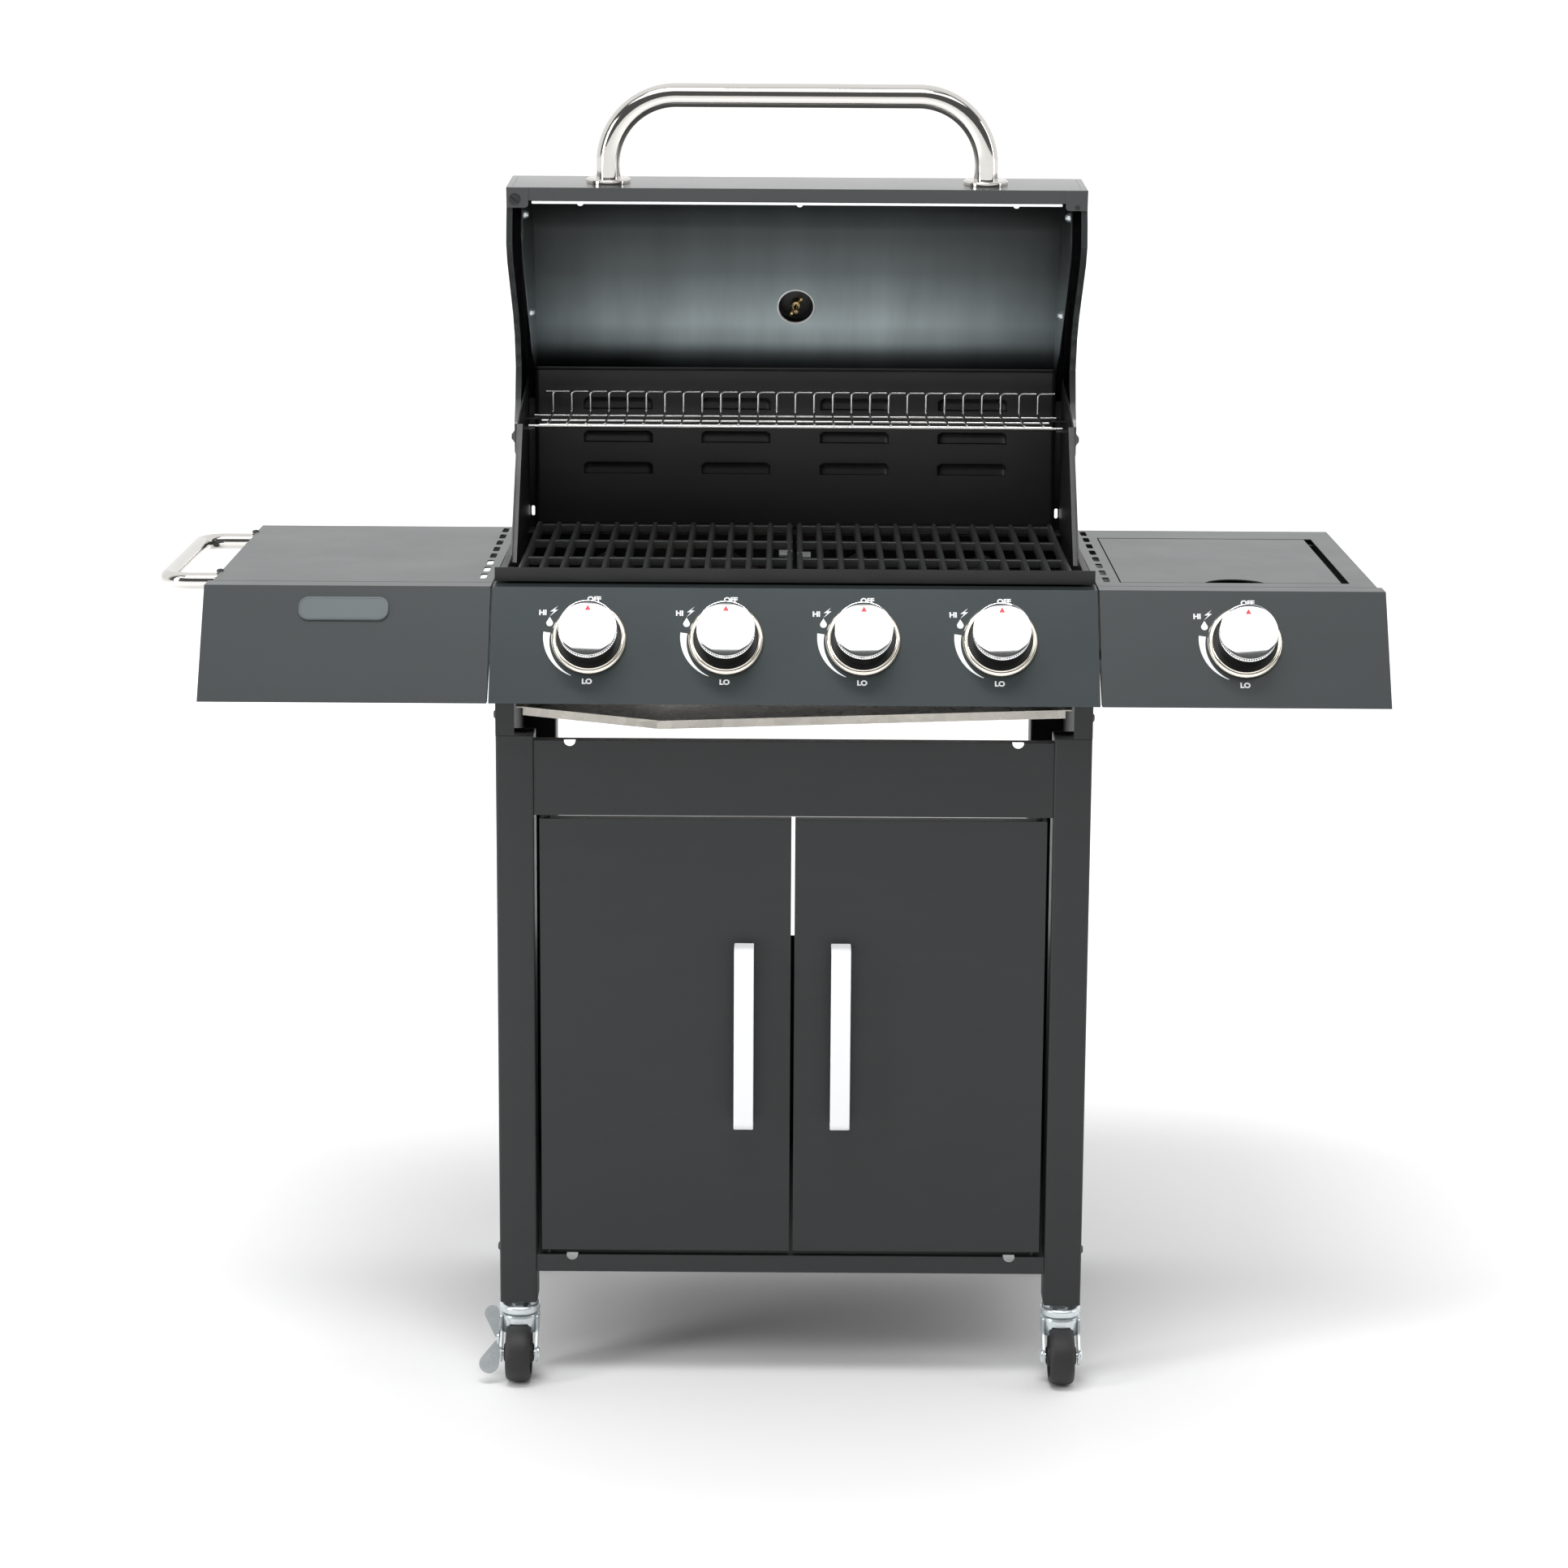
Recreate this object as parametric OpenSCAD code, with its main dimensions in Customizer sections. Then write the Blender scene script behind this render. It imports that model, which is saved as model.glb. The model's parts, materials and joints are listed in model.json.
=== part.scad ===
// Four-burner gas barbecue on a cabinet cart, with a side burner.
// Millimetres, +Z up, -Y towards the cook. Everything is drawn about the cart's
// own middle and moved at the end so that the origin is under the whole grill.

/* [Cart] */
// Width over the legs
cart_w = 660; // [600:5:760]
// Depth over the legs
cart_d = 422; // [400:5:480]
// Width of each square leg
leg_w = 42; // [36:1:46]
// Height of the front legs' tops
leg_top = 752; // [680:1:800]
// Height of the front top rail
rail_h = 85; // [60:1:110]
// Height of the floor above the ground
floor_z = 149; // [130:1:180]
// Height of the floor's folded edge
floor_edge = 20; // [15:1:30]
// Top of the half-height back panel
back_panel_top = 407; // [300:1:600]
// Sheet thickness of the panels
sheet = 1.5; // [1:0.1:2]

/* [Doors] */
// Depth of a folded door
door_t = 16; // [12:1:20]
// Gap between the two doors
door_gap = 4; // [3:0.5:8]
// Gap between a door and its leg
door_side_gap = 6; // [5:0.5:10]
// Length of a door handle
pull_len = 211; // [150:1:260]
// Width of a door handle
pull_w = 22; // [16:1:30]
// How far a door handle stands off
pull_out = 28; // [20:1:40]

/* [Casters] */
// Wheel diameter
wheel_d = 65; // [50:1:66]
// Wheel tread width
wheel_w = 28; // [20:1:29]
// Height of the whole caster
caster_h = 92; // [90:1:100]
// Distance from the swivel to the axle
trail = 22; // [15:1:26]
// Swivel stem diameter
stem_d = 12; // [10:1:14]
// Axle diameter
axle_d = 8; // [6:1:10]

/* [Firebox] */
// Width over the firebox sides
box_w = 640; // [560:5:644]
// Top of the firebox front lip
lip_top = 935; // [930:1:940]
// Front face of the firebox lip, from the cart's middle
lip_y = -176; // [-180:1:-170]
// Rear face of the firebox
box_back = 190; // [185:1:195]
// Bottom of the firebox
box_bottom = 800; // [795:1:805]
// Top of the louvred back wall
back_wall_top = 1117; // [1100:1:1120]
// Height of the grate bars
grate_h = 12; // [8:1:12]
// Number of bars in a grate
grate_bars = 14; // [8:1:20]
// Width of a grate bar
bar_w = 8; // [5:1:10]
// Spacing of the burners and their knobs
burner_pitch = 150; // [140:1:155]
// Burner tube diameter
burner_d = 25; // [20:1:30]

/* [Lid] */
// Width over the lid
lid_w = 660; // [656:1:670]
// Height of the hinge axis
hinge_z = 1040; // [1035:1:1045]
// Hinge axis, from the cart's middle
hinge_y = 122; // [118:1:126]
// How far the lid opens
lid_travel = 86; // [70:1:88]
// Radius of the lid's front shoulder
lid_front_r = 90; // [60:5:95]
// Radius of the lid's rear shoulder
lid_rear_r = 165; // [160:1:170]
// Slope of the lid's crown
crown_slope = 14; // [10:1:16]
// Space between the shell and the liner
liner_gap = 14; // [10:1:16]
// Tube diameter of the lid handle
handle_d = 28; // [22:1:32]
// Distance between the handle's legs
handle_span = 432; // [300:2:500]
// Bend radius of the handle
handle_bend = 78; // [50:1:80]
// Standoff of the handle's tube
handle_out = 100; // [90:1:110]

/* [Panel and shelves] */
// Width of the control panel
panel_w = 666; // [662:1:670]
// Height of the worktop
top_z = 917; // [914:1:918]
// Top front edge of the panel, from the cart's middle
panel_y = -197; // [-205:1:-195]
// Height of the slanted panel
panel_h = 117; // [110:1:118]
// Slant of the panel from upright
panel_slant = 30; // [20:1:34]
// Outer end of the shelf tops, from the middle
shelf_end = 645; // [600:1:700]
// Outer end of the slanted fascias, from the middle
fascia_end = 650; // [605:1:705]
// Depth of a shelf's folded skirt
skirt_h = 38; // [30:1:42]
// Side handle tube diameter
rail_tube_d = 19; // [14:1:22]
// How far the side handle stands out from the shelf
rail_tube_out = 64; // [50:1:90]

/* [Knobs] */
// Diameter of a knob
knob_d = 64; // [50:1:66]
// Height of a knob's face above the panel
knob_face = 39.5; // [34:0.5:42]
// Distance of the knobs down the panel's slope
knob_down = 60.5; // [55:0.5:64]
// Push travel of a knob
knob_push = 4; // [2:0.5:4]
// Spindle diameter
spindle_d = 8; // [6:1:9]
// Bezel outside diameter
bezel_d = 83; // [76:1:90]

/* [Side burner] */
// Inner edge of the burner opening, from the middle
well_in = 362; // [358:1:370]
// Outer edge of the burner opening, from the middle
well_out = 618; // [600:1:630]
// Front edge of the opening
well_front = -146; // [-155:1:-130]
// Rear edge of the opening
well_rear = 155; // [140:1:165]
// Depth of the burner bowl
bowl_h = 52; // [40:1:60]
// Burner head diameter
head_d = 78; // [60:1:90]

/* [Drip tray] */
// Width of the tray over its lips
tray_w = 617; // [560:1:618]
// Depth of the tray
tray_d = 352; // [300:1:354]
// Height of the tray's edge
tray_top = 782; // [778:1:784]
// Fall from the tray's edge to its valley
tray_fall = 15; // [8:1:18]
// Valley of the tray, from the middle
valley_x = -148; // [-200:1:200]
// Depth of the tray's folded edge
tray_edge = 9.5; // [8:0.5:12]

/* [Hidden] */

$fn = 48;
run_gap = 0.05;      // radial running clearance of a shaft in its bore
part_gap = 0.5;      // clearance between sheets that move past each other
hx = cart_w / 2;
hy = cart_d / 2;
leg_x = hx - leg_w / 2;
leg_y = hy - leg_w / 2;
inner_x = hx - leg_w;             // clear half width between the legs
front_face = -hy + 2;             // front plane of the doors and the top rail
rail_top = leg_top - 5;
rail_bottom = rail_top - rail_h;
rail_depth = 15;
notch_x = 248;
notch_d = 13;

door_w = inner_x - door_side_gap - door_gap / 2;
door_top = rail_bottom - 4;
door_bottom = floor_z + 6;
pivot_x = inner_x - door_side_gap - door_t / 2;
pivot_y = front_face + door_t / 2;
pivot_d = 6;
pull_x = 54;
pull_z = (door_top + door_bottom) / 2 + 4.5;
pull_t = 3;
pull_r = 9;

wheel_r = wheel_d / 2;
race_r = 23;
race_t = 5;
nut_r = 10;
fork_top = caster_h - race_t - 7;
fork_t = 6;
rivet_t = 4;
rivet_z = fork_top - fork_t - rivet_t;
cheek_t = 2.5;
cheek_in = wheel_w / 2 + 5;
cheek_out = cheek_in + cheek_t;
hub_r = 12;
hub_w = wheel_w + 6;
brake_z = 52;
brake_y = -leg_y - 8;
brake_t = 2.5;
brake_stud = 6;

side_x = box_w / 2;
lip_h = 14;
ledge_z = lip_top - lip_h;
tub_front = -150;
side_foot_y = -99;
side_top_y = 8;
side_top_z = 1070;
flange_w = 6.5;
lip_half = hx + 2;
back_wall_y = 180;
tamer_z = 872;                    // ledge under the flame tamers
louvre_x = [-212, -71, 71, 212];
louvre_z = [992, 1030, 1070];
grate_gap = 4;
grate_w = side_x - sheet - 10 - grate_gap / 2;
grate_front = -165;
grate_back = 155;
cross_y = [-84, 33];
rack_z = 1066;
rack_front = 41;
rack_back = 132;
rack_up = 1092;
rack_half = 309;
wire = 4;
burner_z = 850;
knob_x = [for (i = [0:3]) (i - 1.5) * burner_pitch];
side_knob_x = (panel_w / 2 + 2 + fascia_end) / 2;
knobs = concat(knob_x, [side_knob_x]);

panel_foot = panel_y - panel_h * tan(panel_slant);
shelf_front = -169;
shelf_back = hy;
shelf_in = panel_w / 2 + 2;
slot_x = shelf_in + 13;
slot_y = -130;
slot_pitch = 45;
foot_fold = 14;                   // turned-back strip at the panel's foot
badge_x = -495;
badge_down = 27;
cover_rim = 12;
cover_in = well_in + 1.5;
cover_out = well_out - 9;
cover_front = well_front + 1.5;
cover_back = well_rear - 3;
cover_axis_y = cover_back - 6;
cover_axis_z = top_z - 7;
cover_pin_d = 4;
well_mid = (well_in + well_out) / 2;
well_y = (well_front + well_rear) / 2;
well_margin = 4;
bowl_floor = top_z - cover_rim - 4 - bowl_h;
rail_tube_y = [-105, 165];
rail_tube_z = top_z - 12;
rail_tube_x = -shelf_end - rail_tube_out;

lip_rel_y = -309;                 // lid's front lip from the hinge, lid closed
lip_rel_z = -100;
front_c = [lip_rel_y + lid_front_r, -5];
crown_a = 90 + crown_slope;
crown_y = -62;                    // where the crown meets the rear shoulder
crown_z = front_c[1] + lid_front_r * sin(crown_a)
        + (crown_y - front_c[0] - lid_front_r * cos(crown_a)) * tan(crown_slope);
rear_c = [crown_y - lid_rear_r * cos(crown_a), crown_z - lid_rear_r * sin(crown_a)];
rear_end_a = 46;
cap_in = side_x + 3;
cap_out = lid_w / 2;
liner_clear = 102;                // radius about the hinge kept free by the liner's sides
liner_half = side_x - 7;
gauge_y = -145;
gauge_z = crown_z + (gauge_y - crown_y) * tan(crown_slope);
gauge_hole = 44;
handle_rel_z = lip_rel_z + 45;
hinge_pin_d = 8;
nut_at = [[-276, -84], [-149, -4]];   // lid nuts from the hinge, lid closed

valve_back = 42;
manifold_down = 52;
manifold_d = 18;
manifold_y = panel_y - knob_down * sin(panel_slant) + manifold_down * cos(panel_slant);
manifold_z = top_z - knob_down * cos(panel_slant) - manifold_down * sin(panel_slant);
inlet_d = 14;
inlet_len = 26;
knob_back = knob_push + 1.5;
knob_wall = 2;
spindle_tip = 20;
spindle_foot = 34;                // depth of the valve's bore behind the panel

tray_half = tray_w / 2;
tray_lip = 8;
tray_front = -196;
tray_sheet = 1.2;
runner_z = tray_top - tray_sheet - part_gap;
runner_y = [leg_w - hy + 1, hy - leg_w - 15];

// Extent of the whole grill, used to put the origin under its middle.
knob_round = 3;
tilt_reach = knob_face * cos(panel_slant)
           + (knob_down + knob_d / 2 - knob_round) * sin(panel_slant);
min_y = panel_y - tilt_reach;
rear_c_open = rear_c[0] * cos(lid_travel) + rear_c[1] * sin(lid_travel);
max_y = hinge_y + rear_c_open + lid_rear_r;
min_x = rail_tube_x - rail_tube_d / 2;
shift_x = -(min_x + fascia_end) / 2;
shift_y = -(min_y + max_y) / 2;

// Points of an arc about c from angle a to angle b.
function arc_points(c, r, a, b, n) =
  [for (i = [0:n]) let (t = a + (b - a) * i / n) [c[0] + r * cos(t), c[1] + r * sin(t)]];

function flip(list) = [for (i = [len(list) - 1:-1:0]) list[i]];

// The lid's curve at a depth t inside its outer face, from lip to rear edge.
function lid_curve(t) = concat(
  [[lip_rel_y + t, lip_rel_z]],
  arc_points(front_c, lid_front_r - t, 180, crown_a, 8),
  arc_points(rear_c, lid_rear_r - t, crown_a, rear_end_a, 12));

module placed() translate([shift_x, shift_y, 0]) children();

module both_sides() {
  children();
  mirror([1, 0, 0]) children();
}

// Outline drawn in (Y, Z), pushed along +X from x for a width w.
module along_x(x, w) translate([x, 0, 0]) rotate([90, 0, 90]) linear_extrude(w) children();

module block(a, b) translate(a) cube(b - a);

// Lid pieces are drawn closed, about the hinge, and turned to the open pose.
module lid_pose()
  placed() translate([0, hinge_y, hinge_z]) rotate([-lid_travel, 0, 0]) children();

// Places children on the slanted panel: +Z out of the panel, +Y up its slope.
module on_panel(x, down)
  translate([x, panel_y - down * sin(panel_slant), top_z - down * cos(panel_slant)])
    rotate([90 - panel_slant, 0, 0]) children();

module rounded(w, h, r) {
  square([w - 2 * r, h], center = true);
  square([w, h - 2 * r], center = true);
  for (x = [-1, 1], y = [-1, 1])
    translate([x * (w / 2 - r), y * (h / 2 - r)]) circle(r);
}

// ---- cart ----

module leg_tube(y, top) {
  difference() {
    block([-hx, y - leg_w / 2, caster_h], [-hx + leg_w, y + leg_w / 2, top]);
    block([-hx + sheet, y - leg_w / 2 + sheet, caster_h + sheet],
          [-hx + leg_w - sheet, y + leg_w / 2 - sheet, top + 1]);
    translate([-leg_x, y, caster_h - 1]) cylinder(h = sheet + 2, d = stem_d + 2 * run_gap);
  }
}

module front_legs()
  color("dimgray") placed() both_sides() leg_tube(-leg_y, leg_top);

module rear_legs()
  color("dimgray") placed() both_sides() leg_tube(leg_y, box_bottom);

module notch(x, z) translate([x, front_face - 1, z]) rotate([-90, 0, 0])
  cylinder(h = 12, d = notch_d);

module top_rail() {
  color("dimgray") placed() {
    difference() {
      block([-inner_x, front_face, rail_bottom], [inner_x, front_face + rail_depth, rail_top]);
      block([-inner_x - 1, front_face + sheet, rail_bottom + sheet],
            [inner_x + 1, front_face + rail_depth + 1, rail_top - sheet]);
      for (x = [-notch_x, notch_x]) notch(x, rail_top);
    }
    both_sides() translate([-pivot_x, pivot_y, rail_bottom - 10]) cylinder(h = 11, d = pivot_d);
  }
}

module bottom_shelf() {
  color("dimgray") placed() {
    difference() {
      block([-inner_x, front_face, floor_z - floor_edge], [inner_x, hy - sheet - 1, floor_z]);
      block([-inner_x + sheet, front_face + sheet, floor_z - floor_edge - 1],
            [inner_x - sheet, hy - 2 * sheet - 1, floor_z - sheet]);
      for (x = [-notch_x, notch_x]) notch(x, floor_z);
    }
    both_sides() {
      translate([-pivot_x, pivot_y, floor_z - 1]) cylinder(h = 14, d = pivot_d);
      block([-hx + 2 + sheet, leg_w - hy, floor_z - sheet], [-inner_x, hy - leg_w, floor_z]);
    }
  }
}

module side_panels()
  color("dimgray") placed() both_sides()
    block([-hx + 2, -hy + leg_w, floor_z - floor_edge], [-hx + 2 + sheet, hy - leg_w, rail_top]);

module back_panel()
  color("dimgray") placed()
    block([-inner_x, hy - sheet - 1, floor_z - floor_edge], [inner_x, hy - 1, back_panel_top]);

// Narrow uprights that carry the firebox on the front legs.
module support_brackets()
  color("black") placed() both_sides() {
    difference() {
      block([-hx, -hy, leg_top], [-hx + leg_w / 2, -hy + leg_w, box_bottom]);
      block([-hx + sheet, -hy + sheet, leg_top - 1],
            [-hx + leg_w / 2 + 1, -hy + leg_w + 1, box_bottom - sheet]);
    }
  }

module frame_bolts()
  color("black") placed() both_sides() {
    for (z = [floor_z - 10, leg_top + 20]) translate([-hx, -leg_y, z]) bolt_head(8, 3.2);
    for (z = [floor_z - 10, 700]) translate([-hx, leg_y, z]) bolt_head(8, 3.2);
    translate([-cap_out - part_gap, hinge_y, hinge_z]) bolt_head(9, 4.5);
    translate([-cap_out - part_gap - 0.01, hinge_y, hinge_z]) rotate([0, 90, 0])
      cylinder(h = cap_out + part_gap - side_x + 0.01, d = hinge_pin_d);
  }

module bolt_head(r, h) rotate([0, -90, 0]) cylinder(h = h, r1 = r, r2 = r * 0.7);

// ---- doors ----

module door() {
  x0 = door_gap / 2;
  difference() {
    block([x0, front_face, door_bottom], [x0 + door_w, front_face + door_t, door_top]);
    block([x0 + sheet, front_face + sheet, door_bottom + sheet],
          [x0 + door_w - sheet, front_face + door_t + 1, door_top - sheet]);
    translate([pivot_x, pivot_y, door_bottom - 1])
      cylinder(h = door_top - door_bottom + 2, d = pivot_d + 2 * run_gap);
  }
}

module door_left() color("dimgray") placed() mirror([1, 0, 0]) door();
module door_right() color("dimgray") placed() door();

// A flat strap bent back to the door at both ends.
module pull(x)
  translate([0, 0, pull_z]) along_x(x - pull_w / 2, pull_w) difference() {
    translate([front_face - pull_out / 2 + pull_r, 0])
      rounded(pull_out + 2 * pull_r, pull_len, pull_r);
    translate([front_face - pull_out / 2 + pull_r + pull_t, 0])
      rounded(pull_out + 2 * pull_r, pull_len - 2 * pull_t, pull_r - pull_t);
    translate([front_face, -pull_len]) square([3 * pull_r, 2 * pull_len]);
  }

module door_handle_left() color("whitesmoke") placed() pull(-pull_x);
module door_handle_right() color("whitesmoke") placed() pull(pull_x);

// ---- casters ----

module caster_stems()
  color("silver") placed() for (x = [-leg_x, leg_x], y = [-leg_y, leg_y])
    translate([x, y, 0]) {
      translate([0, 0, rivet_z]) cylinder(h = caster_h + 30 - rivet_z, d = stem_d);
      translate([0, 0, rivet_z]) cylinder(h = rivet_t - part_gap, r = 9);
      translate([0, 0, fork_top + part_gap]) cylinder(h = race_t, r = race_r);
      translate([0, 0, fork_top + race_t])
        cylinder(h = caster_h - fork_top - race_t, r = nut_r, $fn = 6);
    }

module fork(sx, sy) {
  translate([sx * leg_x, sy * leg_y, 0]) {
    difference() {
      union() {
        translate([0, 0, fork_top - fork_t]) cylinder(h = fork_t, r = race_r);
        both_sides() along_x(0, cheek_out)
          translate([-14, fork_top - fork_t]) square([28, fork_t - 0.5]);
      }
      translate([0, 0, fork_top - fork_t - 1]) cylinder(h = fork_t + 2, d = stem_d + 2 * run_gap);
    }
    both_sides() along_x(cheek_in, cheek_t) {
      polygon([[-14, fork_top - 0.5], [-trail - 10, wheel_r + 2], [-trail - 10, wheel_r],
               [-trail + 10, wheel_r - 4], [12, fork_top - 12], [14, fork_top - 0.5]]);
      translate([-trail, wheel_r]) circle(10);
    }
    translate([-cheek_out - 1.5, -trail, wheel_r]) rotate([0, 90, 0])
      cylinder(h = 2 * cheek_out + 3, d = axle_d);
    if (sx < 0) translate([-cheek_out, brake_y + leg_y, brake_z]) rotate([0, -90, 0])
      cylinder(h = brake_t + 2, d = brake_stud);
  }
}

module wheel(sx, sy)
  translate([sx * leg_x, sy * leg_y - trail, wheel_r]) rotate([0, 90, 0])
    rotate_extrude() polygon([
      [axle_d / 2 + run_gap, -hub_w / 2], [hub_r, -hub_w / 2], [hub_r, -wheel_w / 2 + 4],
      [wheel_r - 7, -wheel_w / 2 + 4], [wheel_r - 7, -wheel_w / 2], [wheel_r - 4, -wheel_w / 2],
      [wheel_r, -wheel_w / 2 + 5], [wheel_r, wheel_w / 2 - 5], [wheel_r - 4, wheel_w / 2],
      [wheel_r - 7, wheel_w / 2], [wheel_r - 7, wheel_w / 2 - 4], [hub_r, wheel_w / 2 - 4],
      [hub_r, hub_w / 2], [axle_d / 2 + run_gap, hub_w / 2]]);

// Rocker on the side of a fork: an upper and a lower foot tab about one stud.
module brake(sy) {
  x1 = -leg_x - cheek_out - part_gap;
  y = (sy < 0 ? 0 : 2 * leg_y) + brake_y;
  translate([x1 - brake_t, y, brake_z]) {
    difference() {
      union() {
        rotate([0, 90, 0]) cylinder(h = brake_t, r = 7);
        along_x(0, brake_t) polygon([[-2, 5], [-20, 6], [-24, 4], [-24, -6], [-20, -8], [-2, -5]]);
      }
      translate([-1, 0, 0]) rotate([0, 90, 0])
        cylinder(h = brake_t + 2, d = brake_stud + 2 * run_gap);
    }
    // the tabs start clear of the axle's end
    translate([0, -22, 3]) rotate([-25, 0, 0]) block([-14, -2, 0], [brake_t / 2, 0, 26]);
    translate([0, -22, -5]) rotate([-15, 0, 0]) block([-20, -2, -30], [brake_t / 2, 0, 0]);
  }
}

// ---- firebox ----

module firebox_side() {
  along_x(-side_x, sheet)
    polygon([[tub_front, box_bottom], [tub_front, ledge_z], [lip_y + sheet, ledge_z],
             [lip_y + sheet, lip_top - sheet], [side_foot_y, lip_top], [side_top_y, side_top_z],
             [side_top_y + 40, side_top_z + 10], [back_wall_y, back_wall_top - 12],
             [box_back, back_wall_top - 30], [box_back, box_bottom]]);
  // inward flange along the slanted front edge
  rise = side_top_z - lip_top;
  run = side_top_y - side_foot_y;
  along_x(-side_x, flange_w) polygon([[side_foot_y, lip_top - 8], [side_foot_y + 2, lip_top - 8],
    [side_top_y + 2, lip_top + rise - 2], [side_top_y, lip_top + rise]]);
  // ledge outside the firebox that the lid's end caps stand over
  block([-lip_half, lip_y + 20, ledge_z - sheet], [-side_x, box_back - 20, ledge_z]);
  // rail for the drip tray, and bracket for the warming rack
  block([-tray_half - sheet - part_gap, runner_y[0], runner_z - sheet],
        [-tray_half - part_gap, runner_y[1], box_bottom]);
  block([-tray_half - sheet - part_gap, runner_y[0], runner_z - sheet],
        [-tray_half + 7, runner_y[1], runner_z]);
  for (y = [rack_front, rack_back])
    block([-side_x, y - 9, rack_z - wire - sheet], [-side_x + 18, y + 9, rack_z - wire]);
}

module firebox() {
  color("dimgray") placed() {
    both_sides() firebox_side();
    // front: lip, ledge for the grates, wall with burner holes
    block([-lip_half, lip_y, ledge_z], [lip_half, lip_y + sheet, lip_top]);
    block([-lip_half, lip_y, ledge_z - sheet], [lip_half, tub_front + sheet, ledge_z]);
    difference() {
      block([-side_x, tub_front, box_bottom], [side_x, tub_front + sheet, ledge_z]);
      for (x = knob_x) translate([x, tub_front - 1, burner_z]) rotate([-90, 0, 0])
        cylinder(h = sheet + 2, d = burner_d + 2);
    }
    difference() {
      block([-side_x, box_back - sheet, box_bottom], [side_x, box_back, back_wall_top - 40]);
      for (x = [-side_x + 5, side_x - 5]) translate([x, box_back + 1, lip_top + 6])
        rotate([90, 0, 0]) linear_extrude(sheet + 2) rounded(4, 12, 1.9);
    }
    block([-side_x, grate_back - 8, ledge_z - sheet], [side_x, box_back, ledge_z]);
    // ledges for the flame tamers, and the open floor's rim
    for (y = [tub_front + sheet, grate_back - 8])
      block([-side_x, y, tamer_z - sheet], [side_x, y + 14, tamer_z]);
    difference() {
      block([-side_x, tub_front, box_bottom], [side_x, box_back, box_bottom + sheet]);
      block([-side_x + 40, tub_front + 30, box_bottom - 1],
            [side_x - 40, box_back - 45, box_bottom + sheet + 1]);
    }
  }
}

module back_wall() {
  wall_half = side_x - 9;
  color("black") placed() difference() {
    union() {
      block([-wall_half, back_wall_y, ledge_z], [wall_half, back_wall_y + sheet, back_wall_top]);
      block([-wall_half, back_wall_y - 6, back_wall_top - sheet],
            [wall_half, back_wall_y + sheet, back_wall_top]);
    }
    for (x = louvre_x, z = louvre_z)
      translate([x, back_wall_y + 5, z]) rotate([90, 0, 0]) linear_extrude(10) rounded(80, 8, 3.9);
  }
}

// One cast grate, drawn from its split edge outwards.
module grate() {
  pitch = (grate_w - bar_w) / (grate_bars - 1);
  translate([grate_gap / 2, 0, ledge_z]) {
    linear_extrude(grate_h) {
      for (i = [0:grate_bars - 1])
        translate([i * pitch, grate_front]) square([bar_w, grate_back - grate_front]);
      for (y = [grate_front, grate_back - bar_w]) translate([0, y]) square([grate_w, bar_w]);
    }
    linear_extrude(grate_h - 3)
      for (y = cross_y) translate([0, y]) square([grate_w, bar_w]);
  }
}

module grate_left() color("black") placed() mirror([1, 0, 0]) grate();
module grate_right() color("black") placed() grate();

module wire_x(y, z, half)
  translate([-half, y, z]) rotate([0, 90, 0]) cylinder(h = 2 * half, d = wire, $fn = 8);

module warming_rack() {
  count = 27;
  half = rack_half - 22;
  thin = wire - 1;
  // the fence stands on the ends of the cross wires, a hair clear, as a solid of its own
  fence_z = rack_z + thin / 2 + 0.1;
  color("silver") placed() {
    for (y = [rack_front, rack_back]) wire_x(y, rack_z - wire / 2, rack_half);
    wire_x(rack_front + 8, rack_z - wire / 2, rack_half - 12);
    wire_x((rack_front + rack_back) / 2, rack_z - wire / 2, rack_half - 12);
    wire_x(rack_back + thin, rack_up, half + 8);
    for (i = [0:count - 1]) translate([-half + 2 * half * i / (count - 1), 0, 0]) {
      translate([0, rack_front - 1, rack_z]) rotate([-90, 0, 0])
        cylinder(h = rack_back - rack_front + thin + 1, d = thin, $fn = 8);
      translate([0, rack_back + thin, fence_z]) cylinder(h = rack_up - fence_z, d = thin, $fn = 8);
    }
  }
}

module main_burners()
  color("silver") placed() for (x = knob_x) translate([x, tub_front - 15, burner_z])
    rotate([-90, 0, 0]) difference() {
      cylinder(h = 300, d = burner_d);
      translate([0, 0, -1]) cylinder(h = 296, d = burner_d - 2 * sheet);
    }

module flame_tamers()
  color("silver") placed() for (x = knob_x) translate([x, tub_front + 3, tamer_z]) rotate([90, 0, 180])
    linear_extrude(grate_back - tub_front - 5)
      polygon([[-45, 0], [0, 26], [45, 0], [42, 0], [0, 26 - 2 * sheet], [-42, 0]]);

module gas_manifold() {
  color("silver") placed() translate([0, manifold_y, manifold_z]) {
    rotate([0, 90, 0]) translate([0, 0, -300]) difference() {
      cylinder(h = 300 + side_knob_x + 20, d = manifold_d);
      translate([0, 0, 3]) cylinder(h = 300 + side_knob_x + 14, d = manifold_d - 5);
    }
    translate([-299, 0, 0]) rotate([0, -90, 0]) cylinder(h = inlet_len + 1, d = inlet_d);
  }
}

module burner_valves()
  color("goldenrod") placed() for (x = knobs) on_panel(x, knob_down) difference() {
    union() {
      translate([-13, -13, -valve_back]) cube([26, 26, valve_back - 12]);
      translate([0, 0, -13]) cylinder(h = 7, d = 18);
      translate([0, 0, -valve_back - 4]) cylinder(h = 5, d = 8);
    }
    translate([0, 0, -spindle_foot]) cylinder(h = 40, d = spindle_d + 2 * run_gap);
  }

module spindle(i)
  color("silver") placed() on_panel(knobs[i - 1], knob_down)
    translate([0, 0, knob_push + 1 - spindle_foot])
      cylinder(h = spindle_foot - knob_push - 1 + spindle_tip, d = spindle_d);

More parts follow.
